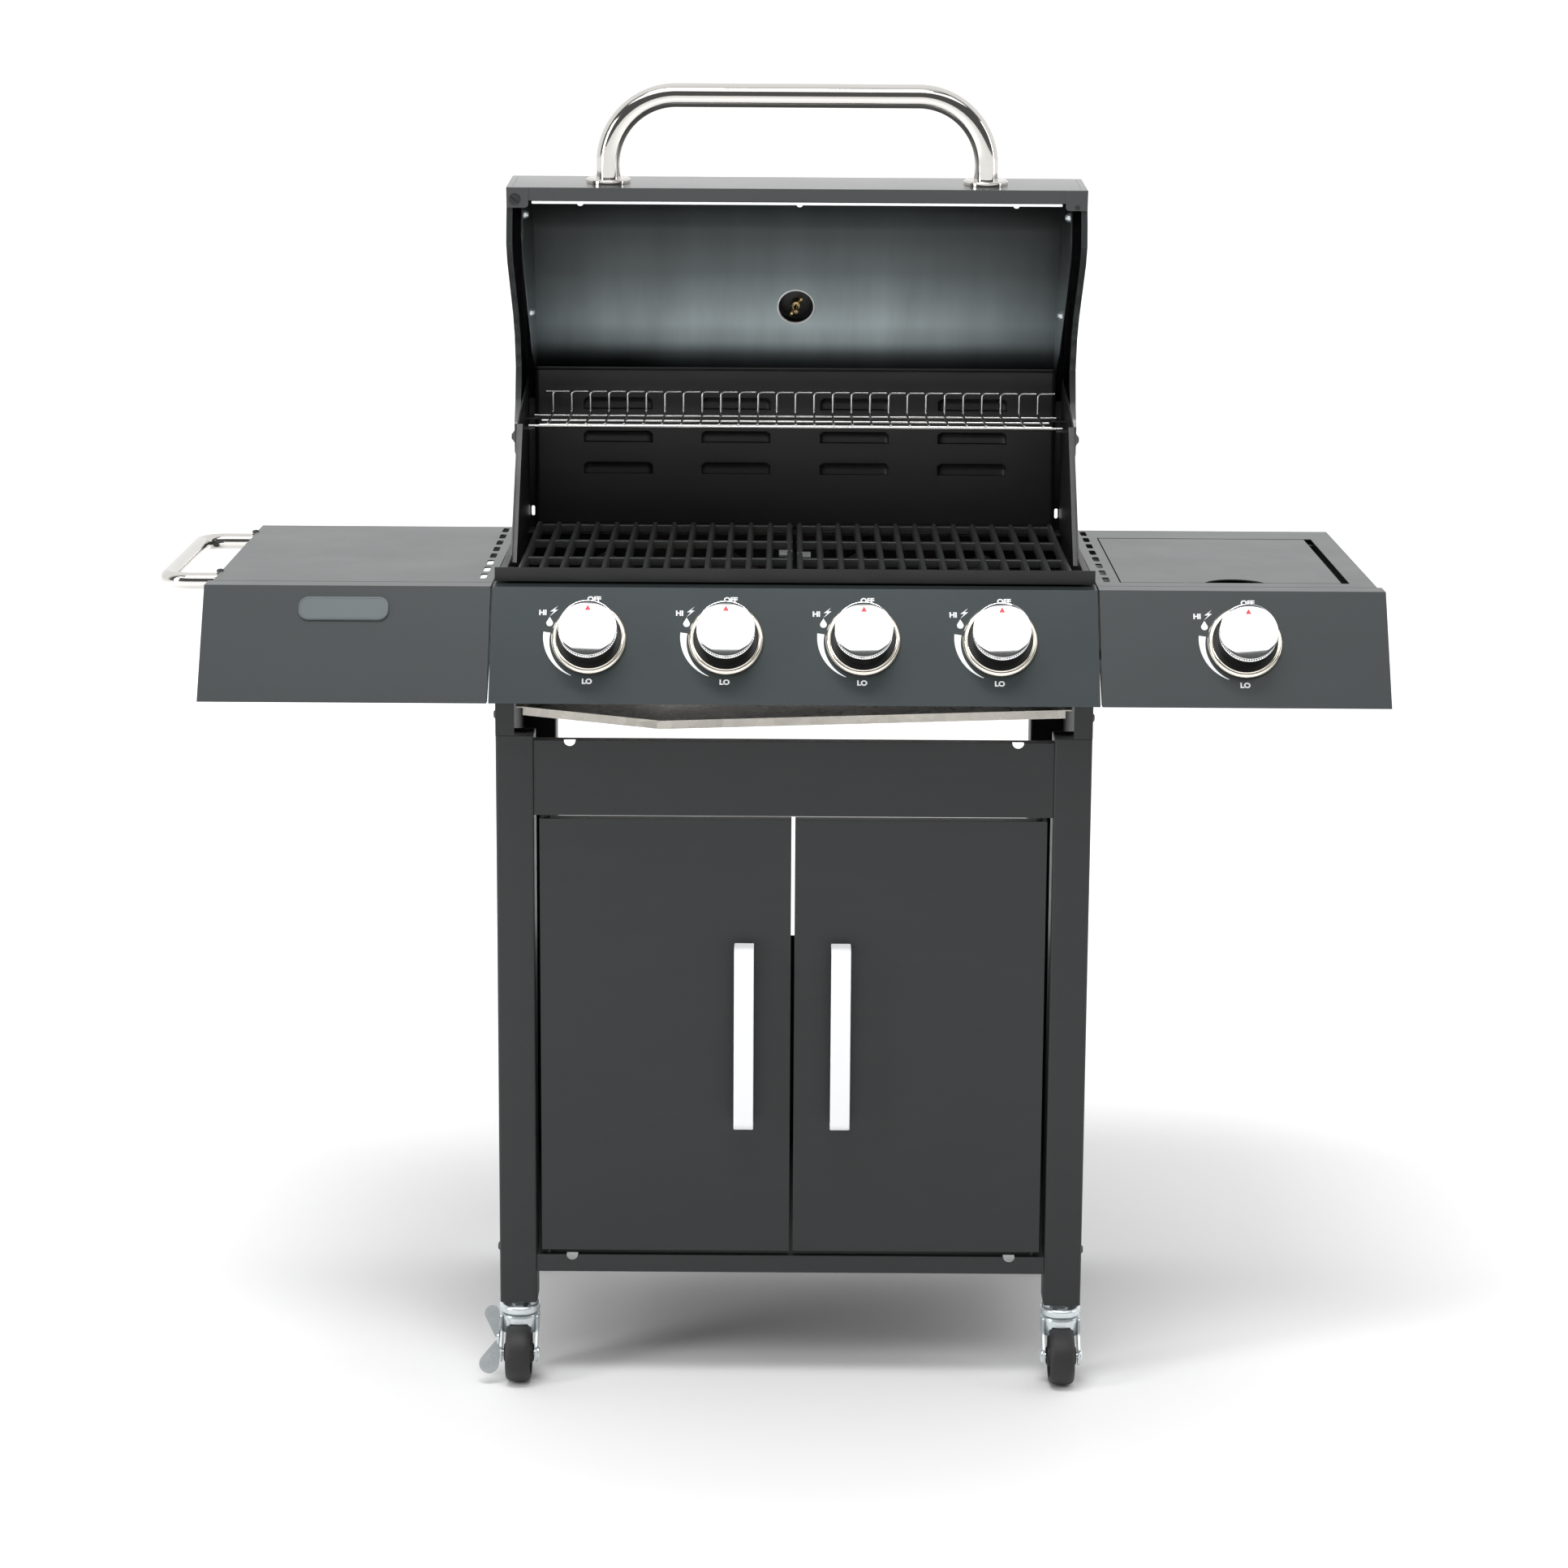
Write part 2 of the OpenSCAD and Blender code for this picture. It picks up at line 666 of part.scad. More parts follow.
// Cup-shaped knob with a boss that takes the spindle.
module knob(i) {
  r = knob_d / 2;
  skirt = r - knob_round;
  step = knob_face - 13;
  inner = skirt - knob_wall;
  bore = spindle_d / 2 + run_gap;
  boss = spindle_d / 2 + 4;
  roof = knob_face - 4;
  color("silver") placed() on_panel(knobs[i - 1], knob_down) rotate_extrude()
    polygon([[bore, knob_back], [boss, knob_back], [boss, roof], [inner, roof],
      [inner, knob_back], [skirt, knob_back], [skirt, step - 1], [r, step + 1],
      [r, knob_face - knob_round], [skirt, knob_face], [0, knob_face],
      [0, spindle_tip + part_gap], [bore, spindle_tip + part_gap]]);
}

module knob_bezels()
  color("silver") placed() for (x = knobs) on_panel(x, knob_down) rotate_extrude()
    polygon([[35, 0], [bezel_d / 2, 0], [bezel_d / 2 - 2, 5], [38, 7], [35, 5]]);

// ---- panel and shelves ----

// Section of the slanted panel in (Y, Z): top flange, slope, folded foot.
module panel_section(back) {
  foot_z = top_z - panel_h;
  fold_y = panel_foot + foot_fold;
  polygon([[back, top_z], [panel_y, top_z], [panel_foot, foot_z], [fold_y, foot_z],
           [fold_y, foot_z + sheet], [panel_foot + 2 * sheet, foot_z + sheet],
           [panel_y + sheet, top_z - sheet], [back, top_z - sheet]]);
}

module panel_end()
  polygon([[shelf_front, top_z - sheet], [panel_y + 1, top_z - sheet],
           [panel_foot + 2 * sheet, top_z - panel_h + sheet],
           [panel_foot + foot_fold, top_z - panel_h + sheet], [panel_y + 4, top_z - panel_h + 60]]);

module control_panel()
  color("slategray") placed() difference() {
    union() {
      along_x(-panel_w / 2, panel_w) panel_section(tub_front - 0.5);
      both_sides() along_x(-panel_w / 2, sheet) panel_end();
    }
    for (x = knob_x) on_panel(x, knob_down) translate([0, 0, -5]) cylinder(h = 10, d = spindle_d + 8);
  }

// A shelf: folded top, slanted fascia, ventilation slots beside the firebox.
module shelf() {
  along_x(shelf_in, fascia_end - shelf_in) panel_section(shelf_front);
  for (x = [shelf_in, fascia_end - sheet]) along_x(x, sheet) panel_end();
  difference() {
    block([shelf_in, shelf_front, top_z - skirt_h], [shelf_end, shelf_back, top_z]);
    block([shelf_in + sheet, shelf_front + sheet, top_z - skirt_h - 1],
          [shelf_end - sheet, shelf_back - sheet, top_z - sheet]);
    for (i = [0:7]) translate([slot_x, slot_y + slot_pitch * i, top_z - 3])
      linear_extrude(5) rounded(7.5, 30, 3.5);
  }
}

module left_shelf() color("slategray") placed() mirror([1, 0, 0]) shelf();

module right_shelf() {
  color("slategray") placed() {
    difference() {
      shelf();
      block([well_in, well_front, top_z - 3], [well_out, well_rear, top_z + 1]);
      on_panel(side_knob_x, knob_down) translate([0, 0, -5]) cylinder(h = 10, d = spindle_d + 8);
    }
  }
}

module badge_plate()
  color("gray") placed() on_panel(badge_x, badge_down) linear_extrude(3) rounded(99, 27, 11);

// Tube that stands out of the left shelf's skirt.
module side_handle() {
  r = 28;
  y0 = rail_tube_y[0];
  y1 = rail_tube_y[1];
  root_x = -shelf_end;
  color("silver") placed() translate([0, 0, rail_tube_z]) {
    for (y = rail_tube_y) translate([rail_tube_x + r, y, 0]) rotate([0, 90, 0])
      cylinder(h = root_x - rail_tube_x - r, d = rail_tube_d);
    translate([rail_tube_x, y0 + r, 0]) rotate([-90, 0, 0])
      cylinder(h = y1 - y0 - 2 * r, d = rail_tube_d);
    translate([rail_tube_x + r, y0 + r, 0]) rotate([0, 0, 180])
      rotate_extrude(angle = 90) translate([r, 0]) circle(d = rail_tube_d);
    translate([rail_tube_x + r, y1 - r, 0]) rotate([0, 0, 90])
      rotate_extrude(angle = 90) translate([r, 0]) circle(d = rail_tube_d);
  }
}

// ---- side burner ----

// Box under the opening; its side walls carry the cover's pins.
module side_burner_bowl() {
  in = well_margin - sheet;
  color("dimgray") placed() {
    difference() {
      block([well_in - well_margin, well_front - well_margin, bowl_floor],
            [well_out + well_margin, well_rear + well_margin, top_z - sheet]);
      block([well_in - in, well_front - in, bowl_floor + sheet],
            [well_out + in, well_rear + in, top_z]);
      translate([well_mid, well_y, bowl_floor - 1]) cylinder(h = sheet + 2, d = 30);
    }
    pin_between(well_in - in - 0.5, cover_in + sheet + 1);
    pin_between(cover_out - sheet - 1, well_out + in + 0.5);
  }
}

module pin_between(x0, x1)
  translate([x0, cover_axis_y, cover_axis_z]) rotate([0, 90, 0])
    cylinder(h = x1 - x0, d = cover_pin_d);

module side_burner_head()
  color("goldenrod") placed() translate([well_mid, well_y, bowl_floor - 20]) {
    cylinder(h = 45, d = 29);
    translate([0, 0, 30]) cylinder(h = 16, d = head_d);
    translate([0, 0, 46]) cylinder(h = 5, d = head_d - 10);
  }

module pot_support() {
  rod = 5;
  middle = 18;                      // half of the open middle
  span_x = well_out - well_in + 2 * (well_margin - sheet) - 1;
  span_y = well_rear - well_front + 2 * (well_margin - sheet) - 12;
  z = top_z - cover_rim - 5.5;
  leg = z - rod / 2 - bowl_floor - sheet;
  color("black") placed() translate([well_mid, well_y, z]) {
    difference() {
      cube([span_x, span_y, rod], center = true);
      cube([span_x - 2 * rod, span_y - 2 * rod, rod + 1], center = true);
    }
    for (s = [-1, 1]) {
      translate([s * (span_x / 4 + middle / 2), 0, 0])
        cube([span_x / 2 - middle, rod, rod], center = true);
      translate([0, s * (span_y / 4 + middle / 2), 0])
        cube([rod, span_y / 2 - middle, rod], center = true);
      for (t = [-1, 1]) translate([s * (span_x - rod) / 2, t * (span_y - rod) / 2, -leg / 2])
        cube([rod, rod, leg + rod], center = true);
    }
  }
}

// Folded cover with a finger notch in its front edge.
module side_burner_lid()
  color("slategray") placed() difference() {
    block([cover_in, cover_front, top_z - cover_rim], [cover_out, cover_back, top_z]);
    block([cover_in + sheet, cover_front + sheet, top_z - cover_rim - 1],
          [cover_out - sheet, cover_back - sheet, top_z - sheet]);
    // the rear fold is cut short so that it swings clear of the pot support
    block([cover_in - 1, cover_back - 3, top_z - cover_rim - 1],
          [cover_out + 1, cover_back + 1, top_z - sheet - 4]);
    translate([well_mid, cover_front - 14, top_z - cover_rim - 1]) cylinder(h = cover_rim + 2, r = 36);
    translate([cover_in - 2, cover_axis_y, cover_axis_z]) rotate([0, 90, 0])
      cylinder(h = cover_out - cover_in + 4, d = cover_pin_d + 2 * run_gap);
  }

// ---- drip tray ----

module drip_tray() {
  dx = tray_half - tray_lip;
  top = tray_top;
  low = tray_top - tray_fall;
  // floor that falls to the valley, with folded front and rear edges
  color("silver") placed() {
    tray_bar(tray_front, tray_front + tray_sheet);
    tray_bar(tray_front + tray_d - tray_sheet, tray_front + tray_d);
    translate([0, tray_front + tray_d, 0]) rotate([90, 0, 0]) linear_extrude(tray_d)
      polygon([[-dx, top - tray_edge], [valley_x, low - tray_edge], [dx, top - tray_edge],
               [dx, top - tray_edge + tray_sheet], [valley_x, low - tray_edge + tray_sheet],
               [-dx, top - tray_edge + tray_sheet]]);
    both_sides() {
      block([-dx, tray_front, top - tray_edge], [-dx + tray_sheet, tray_front + tray_d, top]);
      block([-tray_half, tray_front, top - tray_sheet], [-dx, tray_front + tray_d, top]);
    }
  }
}

// Upright edge of the tray between y0 and y1, following the valley.
module tray_bar(y0, y1) {
  dx = tray_half - tray_lip;
  translate([0, y1, 0]) rotate([90, 0, 0]) linear_extrude(y1 - y0)
    polygon([[-dx, tray_top], [-dx, tray_top - tray_edge],
             [valley_x, tray_top - tray_fall - tray_edge], [dx, tray_top - tray_edge],
             [dx, tray_top], [valley_x, tray_top - tray_fall]]);
}

// ---- lid ----

module lid_sheet(t0, t1) polygon(concat(lid_curve(t0), flip(lid_curve(t1))));

module lid_shell()
  color("dimgray") lid_pose() difference() {
    union() {
      along_x(-cap_in, 2 * cap_in) lid_sheet(0, sheet);
      block([-cap_in, lip_rel_y, lip_rel_z], [cap_in, lip_rel_y + liner_gap + 1, lip_rel_z + sheet]);
    }
    translate([0, gauge_y, gauge_z]) rotate([crown_slope, 0, 0])
      translate([0, 0, -10]) cylinder(h = 20, d = 12);
  }

module lid_liner()
  color("slategray") lid_pose() difference() {
    union() {
      along_x(-liner_half, 2 * liner_half) lid_sheet(liner_gap, liner_gap + sheet);
      both_sides() along_x(-liner_half, sheet)
        polygon(concat(flip(liner_rim()), flip(lid_curve(liner_gap))));
    }
    translate([0, gauge_y, gauge_z]) rotate([crown_slope, 0, 0])
      translate([0, 0, -liner_gap - 30]) cylinder(h = 40, d = gauge_hole);
    block([-lid_w, lip_rel_y - 1, lip_rel_z - 1], [lid_w, lip_rel_y + 60, lip_rel_z + sheet]);
  }

// Outline of an end cap: the lid's curve closed by a rim that clears the firebox side.
function cap_rim() = [[93, 85], [34, 14], [14, -24], [-20, -24], [-40, -8], [-82, 8],
  [-120, -2], [-149, -22], [-223, -97], [-246, -110], [-270, -104], [-285, -98]];

function cap_inner_rim() = [[84, 80], [30, 24], [-30, 24], [-82, 15], [-124, 5], [-154, -17],
  [-226, -89], [-247, -102], [-268, -97], [-294, -91]];

// Lower edge of the liner's sides: an arc about the hinge that clears the back wall
// and the warming rack, then a line along the firebox side.
function liner_rim() = concat(arc_points([0, 0], liner_clear, 44, 160, 10),
  [[-128, 6], [-152, -20], [-226, -93], [-250, -104], [-272, -98], [-294, -92]]);

module end_cap() {
  outline = concat(flip(cap_rim()), flip(lid_curve(0)));
  difference() {
    union() {
      along_x(-cap_out, sheet) polygon(outline);
      along_x(-cap_out, cap_out - cap_in) difference() {
        polygon(outline);
        polygon(concat(flip(cap_inner_rim()), flip(lid_curve(6))));
      }
    }
    translate([-cap_out - 1, 0, 0]) rotate([0, 90, 0])
      cylinder(h = sheet + 2, d = hinge_pin_d + 2 * run_gap);
    translate([-cap_out + sheet, 0, 0]) rotate([0, 90, 0]) cylinder(h = 20, r = 13);
  }
}

module lid_end_caps() color("dimgray") lid_pose() both_sides() end_cap();

// Bent tube, two legs square to the lid's front face.
module lid_handle() {
  hxs = handle_span / 2;
  r = handle_bend;
  color("silver") lid_pose() translate([0, lip_rel_y, handle_rel_z]) {
    both_sides() {
      translate([-hxs, 0, 0]) rotate([90, 0, 0]) cylinder(h = handle_out - r, d = handle_d);
      translate([-hxs + r, -handle_out + r, 0]) rotate([0, 0, 180])
        rotate_extrude(angle = 90) translate([r, 0]) circle(d = handle_d);
    }
    translate([-hxs + r, -handle_out, 0]) rotate([0, 90, 0])
      cylinder(h = handle_span - 2 * r, d = handle_d);
  }
}

module handle_flanges()
  color("silver") lid_pose() both_sides()
    translate([-handle_span / 2, lip_rel_y, handle_rel_z]) rotate([90, 0, 0]) difference() {
      cylinder(h = 6, r1 = 25.5, r2 = 22);
      translate([0, 0, -1]) cylinder(h = 8, d = handle_d + 2 * run_gap);
    }

// Dial outside the lid, stem through both skins, wing nut inside.
module thermometer()
  color("silver") lid_pose() translate([0, gauge_y, gauge_z]) rotate([crown_slope, 0, 0]) {
    cylinder(h = 12, d = 62);
    translate([0, 0, -30]) cylinder(h = 30, d = 5);
    translate([0, 0, -8]) cylinder(h = 7.5, d = 11);
    translate([0, 0, -9]) cube([22, 3, 9], center = true);
  }

module lid_nuts()
  color("silver") lid_pose() both_sides() for (p = nut_at)
    translate([-liner_half + sheet, p[0], p[1]]) rotate([0, 90, 0]) {
      cylinder(h = 3, r = 5, $fn = 6);
      translate([0, 0, 2.9]) cylinder(h = 3, r1 = 4.2, r2 = 2);
    }

front_legs();
rear_legs();
top_rail();
bottom_shelf();
side_panels();
back_panel();
support_brackets();
firebox();
back_wall();
control_panel();
left_shelf();
right_shelf();
badge_plate();
side_handle();
side_burner_bowl();
side_burner_head();
pot_support();
main_burners();
flame_tamers();
gas_manifold();
burner_valves();
knob_bezels();
grate_left();
grate_right();
warming_rack();
caster_stems();
frame_bolts();
lid_shell();
lid_liner();
lid_end_caps();
lid_handle();
handle_flanges();
thermometer();
lid_nuts();
door_left();
door_right();
door_handle_left();
door_handle_right();
side_burner_lid();
drip_tray();
for (i = [1:5]) spindle(i);
for (i = [1:5]) knob(i);
for (s = [["front_left", -1, -1], ["front_right", 1, -1], ["rear_left", -1, 1], ["rear_right", 1, 1]]) {
  color("silver") placed() fork(s[1], s[2]);
  color("black") placed() wheel(s[1], s[2]);
}
color("silver") placed() brake(-1);  // brake_front_left
color("silver") placed() brake(1);  // brake_rear_left
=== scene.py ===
import json

import bmesh
import bpy
import numpy as np
from mathutils import Euler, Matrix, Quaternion, Vector


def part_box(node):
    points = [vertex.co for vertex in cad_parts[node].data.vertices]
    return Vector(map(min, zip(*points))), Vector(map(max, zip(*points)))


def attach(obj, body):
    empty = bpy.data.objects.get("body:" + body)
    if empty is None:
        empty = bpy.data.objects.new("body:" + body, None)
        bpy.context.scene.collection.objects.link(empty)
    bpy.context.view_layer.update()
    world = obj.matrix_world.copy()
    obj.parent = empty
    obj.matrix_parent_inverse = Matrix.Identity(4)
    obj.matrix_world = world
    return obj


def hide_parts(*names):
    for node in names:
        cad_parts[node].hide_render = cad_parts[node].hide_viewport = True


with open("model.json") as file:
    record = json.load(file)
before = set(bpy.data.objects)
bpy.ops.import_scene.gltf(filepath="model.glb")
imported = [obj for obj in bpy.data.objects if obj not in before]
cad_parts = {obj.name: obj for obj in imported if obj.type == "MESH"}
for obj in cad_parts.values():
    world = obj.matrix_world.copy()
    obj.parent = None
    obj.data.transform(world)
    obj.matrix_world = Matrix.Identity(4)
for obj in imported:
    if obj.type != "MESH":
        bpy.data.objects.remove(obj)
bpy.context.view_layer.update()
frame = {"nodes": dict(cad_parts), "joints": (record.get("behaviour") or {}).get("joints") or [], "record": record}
nodes = frame["nodes"]
joints = {j["name"]: j for j in frame["joints"]}
bodyOf = {n: b for b, members in frame["record"]["behaviour"]["bodies"].items() for n in members}
mm = 0.001

# the grill's middle: halfway between the side panels, and between the front and rear legs
midX = sum(c.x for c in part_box("control_panel")) / 2 / mm
midY = (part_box("front_legs")[0].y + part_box("rear_legs")[1].y) / 2 / mm
middle = np.array([midX, midY, 0.0])
print("frame loaded, middle at", midX, midY)


# ---- shapes: all in millimetres from the grill's middle until addPiece ----

def gridFaces(rows, columns, closeRows=False, closeColumns=False):
    # quads of a grid of points, joined round where a direction is closed
    r = np.arange(rows if closeRows else rows - 1)
    c = np.arange(columns if closeColumns else columns - 1)
    a, b = np.meshgrid(r, c, indexing="ij")
    a2, b2 = (a + 1) % rows, (b + 1) % columns
    corners = [a * columns + b, a2 * columns + b, a2 * columns + b2, a * columns + b2]
    return np.stack(corners, -1).reshape(-1, 4).tolist()


def roundCorners(corners, radius, steps=5, closed=True):
    # each corner becomes an arc: a rational curve between the two tangent points,
    # weighted by the cosine of half the turn, which makes it exactly round
    p = np.asarray(corners, float)
    before, after = np.roll(p, 1, 0) - p, np.roll(p, -1, 0) - p
    u = before / np.linalg.norm(before, axis=1, keepdims=True)
    v = after / np.linalg.norm(after, axis=1, keepdims=True)
    half = np.arccos(np.clip(-(u * v).sum(1), -1, 1)) / 2
    cut = (np.broadcast_to(radius, half.shape) * np.tan(half))[:, None, None]
    weight = np.cos(half)[:, None, None]
    t = np.linspace(0, 1, steps + 1)[None, :, None]
    start, end = p[:, None] + u[:, None] * cut, p[:, None] + v[:, None] * cut
    a, b, c = (1 - t) ** 2, 2 * weight * t * (1 - t), t ** 2
    arcs = (a * start + b * p[:, None] + c * end) / (a + b + c)
    if closed:
        return arcs.reshape(-1, p.shape[1])
    return np.vstack([p[:1], arcs[1:-1].reshape(-1, p.shape[1]), p[-1:]])


def arc(centre, radius, start, end, steps):
    # points at equal angles, in degrees, round a centre
    t = np.radians(np.linspace(start, end, steps + 1))
    return np.stack([centre[0] + radius * np.cos(t), centre[1] + radius * np.sin(t)], 1)


def lathe(profile, sides=64, ripple=0.0, waves=0):
    # every (radius, height) goes once round local Z; a ripple makes the radius a cosine
    # of the angle where the third column asks for it
    p = np.asarray(profile, float)
    t = np.linspace(0, 2 * np.pi, sides, endpoint=False)
    mark = p[:, 2:3] if p.shape[1] > 2 else np.zeros((len(p), 1))
    r = p[:, :1] * (1 + ripple * mark * np.cos(waves * t))
    points = np.stack([r * np.cos(t), r * np.sin(t), np.repeat(p[:, 1:2], sides, 1)], -1)
    return points.reshape(-1, 3), gridFaces(len(p), sides, closeColumns=True)


def prism(outline, low, high, axis=0):
    # a closed outline pushed along an axis, with both ends capped
    o = np.asarray(outline, float)
    n = len(o)
    rings = np.stack([np.insert(o, axis, h, axis=1) for h in (low, high)])
    faces = gridFaces(2, n, closeColumns=True)
    return rings.reshape(-1, 3), faces + [list(range(n))[::-1], list(range(n, 2 * n))]


def tube(path, radius, across, sides=24):
    # a circle carried along a path that lies in one plane; across is that plane's normal
    p = np.asarray(path, float)
    along = np.gradient(p, axis=0)
    along /= np.linalg.norm(along, axis=1, keepdims=True)
    across = np.asarray(across, float)
    side = np.cross(along, across)
    t = np.linspace(0, 2 * np.pi, sides, endpoint=False)[None, :, None]
    points = p[:, None] + radius * (np.cos(t) * across + np.sin(t) * side[:, None])
    n = len(p)
    ends = [list(range(sides))[::-1], list(range((n - 1) * sides, n * sides))]
    return points.reshape(-1, 3), gridFaces(n, sides, closeColumns=True) + ends


def placed(part, origin, up=(0, 0, 1), across=(1, 0, 0)):
    # local X goes to across, local Z to up, and the origin to its place
    up, across = np.asarray(up, float), np.asarray(across, float)
    turn = np.stack([across, np.cross(up, across), up])
    return part[0] @ turn + np.asarray(origin, float), part[1]


def mirrored(part):
    return part[0] * [-1, 1, 1], [f[::-1] for f in part[1]]


def joined(parts):
    sizes = np.cumsum([0] + [len(p) for p, _ in parts])
    faces = [[i + s for i in f] for (_, fs), s in zip(parts, sizes) for f in fs]
    return np.vstack([p for p, _ in parts]), faces


def lettering(text, height, bold=0.012):
    # text made a flat mesh, its capital letters the given height, centred on the origin
    curve = bpy.data.curves.new("lettering", "FONT")
    curve.body, curve.size, curve.offset = text, 1.0, bold
    curve.align_x, curve.align_y = "CENTER", "CENTER"
    holder = bpy.data.objects.new("lettering", curve)
    bpy.context.scene.collection.objects.link(holder)
    bpy.context.view_layer.update()
    mesh = bpy.data.meshes.new_from_object(holder.evaluated_get(bpy.context.evaluated_depsgraph_get()))
    points = np.zeros(len(mesh.vertices) * 3)
    mesh.vertices.foreach_get("co", points)
    points = points.reshape(-1, 3)
    faces = [list(f.vertices) for f in mesh.polygons]
    bpy.data.objects.remove(holder)
    low, high = points.min(0), points.max(0)
    points = (points - (low + high) / 2) * height / (high[1] - low[1])
    points[:, 2] = 0
    return points, faces


def shade(mesh, angle):
    mesh.shade_smooth()
    mesh.set_sharp_from_angle(angle=np.radians(angle))


def addPiece(name, parts, body, material, replaces=(), smooth=35, bevel=0, closed=True):
    points, faces = joined(parts)
    mesh = bpy.data.meshes.new(name)
    mesh.from_pydata(((points + middle) * mm).tolist(), [], faces)
    bm = bmesh.new()
    bm.from_mesh(mesh)
    bmesh.ops.remove_doubles(bm, verts=bm.verts, dist=2e-6)
    if closed:
        bmesh.ops.recalc_face_normals(bm, faces=bm.faces)
    bm.to_mesh(mesh)
    bm.free()
    shade(mesh, smooth)
    return finishPiece(name, mesh, body, material, replaces, bevel)


def finishPiece(name, mesh, body, material, replaces, bevel):
    mesh.materials.append(material)
    piece = bpy.data.objects.new(name, mesh)
    bpy.context.scene.collection.objects.link(piece)
    if bevel:
        edge = piece.modifiers.new("softEdges", "BEVEL")
        edge.width, edge.segments = bevel * mm, 2
        edge.limit_method, edge.angle_limit = "ANGLE", np.radians(35)
        edge.harden_normals = True
    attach(piece, body)
    for node in replaces:
        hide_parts(node)
    return piece


def softened(node, bevel, material, smooth=30):
    # a copy of a frame part with its loose triangles joined and its edges rounded
    source = nodes[node].data
    points = np.zeros(len(source.vertices) * 3)
    source.vertices.foreach_get("co", points)
    corners = np.zeros(len(source.loops), int)
    source.loops.foreach_get("vertex_index", corners)
    mesh = bpy.data.meshes.new(node + "_soft")
    mesh.from_pydata(points.reshape(-1, 3).tolist(), [], corners.reshape(-1, 3).tolist())
    bm = bmesh.new()
    bm.from_mesh(mesh)
    bmesh.ops.remove_doubles(bm, verts=bm.verts, dist=5e-6)
    flat = np.radians(0.5)
    bmesh.ops.dissolve_limit(bm, angle_limit=flat, verts=bm.verts, edges=bm.edges)
    bm.to_mesh(mesh)
    bm.free()
    shade(mesh, smooth)
    return finishPiece(node + "_soft", mesh, bodyOf[node], material, [node], bevel)


# ---- finishes ----

def effectGroup(name, inputs, outputs):
    group = bpy.data.node_groups.new(name, "ShaderNodeTree")
    for label, kind, value in inputs:
        socket = group.interface.new_socket(name=label, in_out="INPUT", socket_type="NodeSocket" + kind)
        if value is not None:
            socket.default_value = value
    for label, kind in outputs:
        group.interface.new_socket(name=label, in_out="OUTPUT", socket_type="NodeSocket" + kind)
    return group, group.nodes.new("NodeGroupInput").outputs, group.nodes.new("NodeGroupOutput").inputs


def link(tree, value, socket):
    if hasattr(value, "links"):
        tree.links.new(value, socket)
    else:
        socket.default_value = value


def maths(tree, operation, a, b=0.0):
    node = tree.nodes.new("ShaderNodeMath")
    node.operation = operation
    link(tree, a, node.inputs[0])
    link(tree, b, node.inputs[1])
    return node.outputs[0]


def stretch(tree, vector, scale):
    node = tree.nodes.new("ShaderNodeVectorMath")
    node.operation = "MULTIPLY"
    link(tree, vector, node.inputs[0])
    link(tree, scale, node.inputs[1])
    return node.outputs[0]


def noise(tree, vector, scale, detail=2.0, rough=0.5):
    node = tree.nodes.new("ShaderNodeTexNoise")
    link(tree, vector, node.inputs["Vector"])
    link(tree, scale, node.inputs["Scale"])
    node.inputs["Detail"].default_value = detail
    node.inputs["Roughness"].default_value = rough
    return node.outputs["Fac"]


def shift(tree, value, amount):
    # noise about a half, turned into one plus or minus the amount
    return maths(tree, "ADD", maths(tree, "MULTIPLY", maths(tree, "SUBTRACT", value, 0.5), amount), 1.0)


def tinted(tree, colour, factor):
    node = tree.nodes.new("ShaderNodeVectorMath")
    node.operation = "SCALE"
    link(tree, colour, node.inputs[0])
    link(tree, factor, node.inputs["Scale"])
    return node.outputs[0]


grainInputs = [("Place", "Vector", None), ("Colour", "Color", None), ("Roughness", "Float", 0.4),
               ("Grain", "Float", 900.0), ("Speckle", "Float", 0.3), ("Cloud", "Float", 0.2),
               ("Smudge", "Float", 0.2)]
grainOutputs = [("Colour", "Color"), ("Roughness", "Float"), ("Height", "Float")]


def powderGroup():
    # fine specks of the sprayed coat, slow clouds in its depth, and faint wipe marks
    group, given, out = effectGroup("powderCoat", grainInputs, grainOutputs)
    specks = noise(group, given["Place"], given["Grain"], 3.0, 0.6)
    clouds = noise(group, given["Place"], 6.0, 3.0)
    wipes = noise(group, stretch(group, given["Place"], (4.0, 4.0, 18.0)), 2.5, 4.0, 0.6)
    fine, broad = shift(group, specks, given["Speckle"]), shift(group, clouds, given["Cloud"])
    tone = maths(group, "MULTIPLY", fine, broad)
    group.links.new(tinted(group, given["Colour"], tone), out["Colour"])
    worn = shift(group, wipes, given["Smudge"])
    group.links.new(maths(group, "MULTIPLY", given["Roughness"], worn), out["Roughness"])
    group.links.new(specks, out["Height"])
    return group


def brushedGroup():
    # drawn lines, long one way and fine the other, with faint clouds and finger marks
    inputs = grainInputs + [("Drawn", "Vector", (1.0, 1.0, 1.0))]
    group, given, out = effectGroup("drawnMetal", inputs, grainOutputs)
    lines = noise(group, stretch(group, given["Place"], given["Drawn"]), given["Grain"], 3.0, 0.6)
    clouds = noise(group, given["Place"], 9.0, 2.0)
    marks = noise(group, given["Place"], 28.0, 4.0, 0.65)
    fine, broad = shift(group, lines, given["Speckle"]), shift(group, clouds, given["Cloud"])
    tone = maths(group, "MULTIPLY", fine, broad)
    group.links.new(tinted(group, given["Colour"], tone), out["Colour"])
    worn = shift(group, marks, given["Smudge"])
    group.links.new(maths(group, "MULTIPLY", given["Roughness"], worn), out["Roughness"])
    group.links.new(lines, out["Height"])
    return group


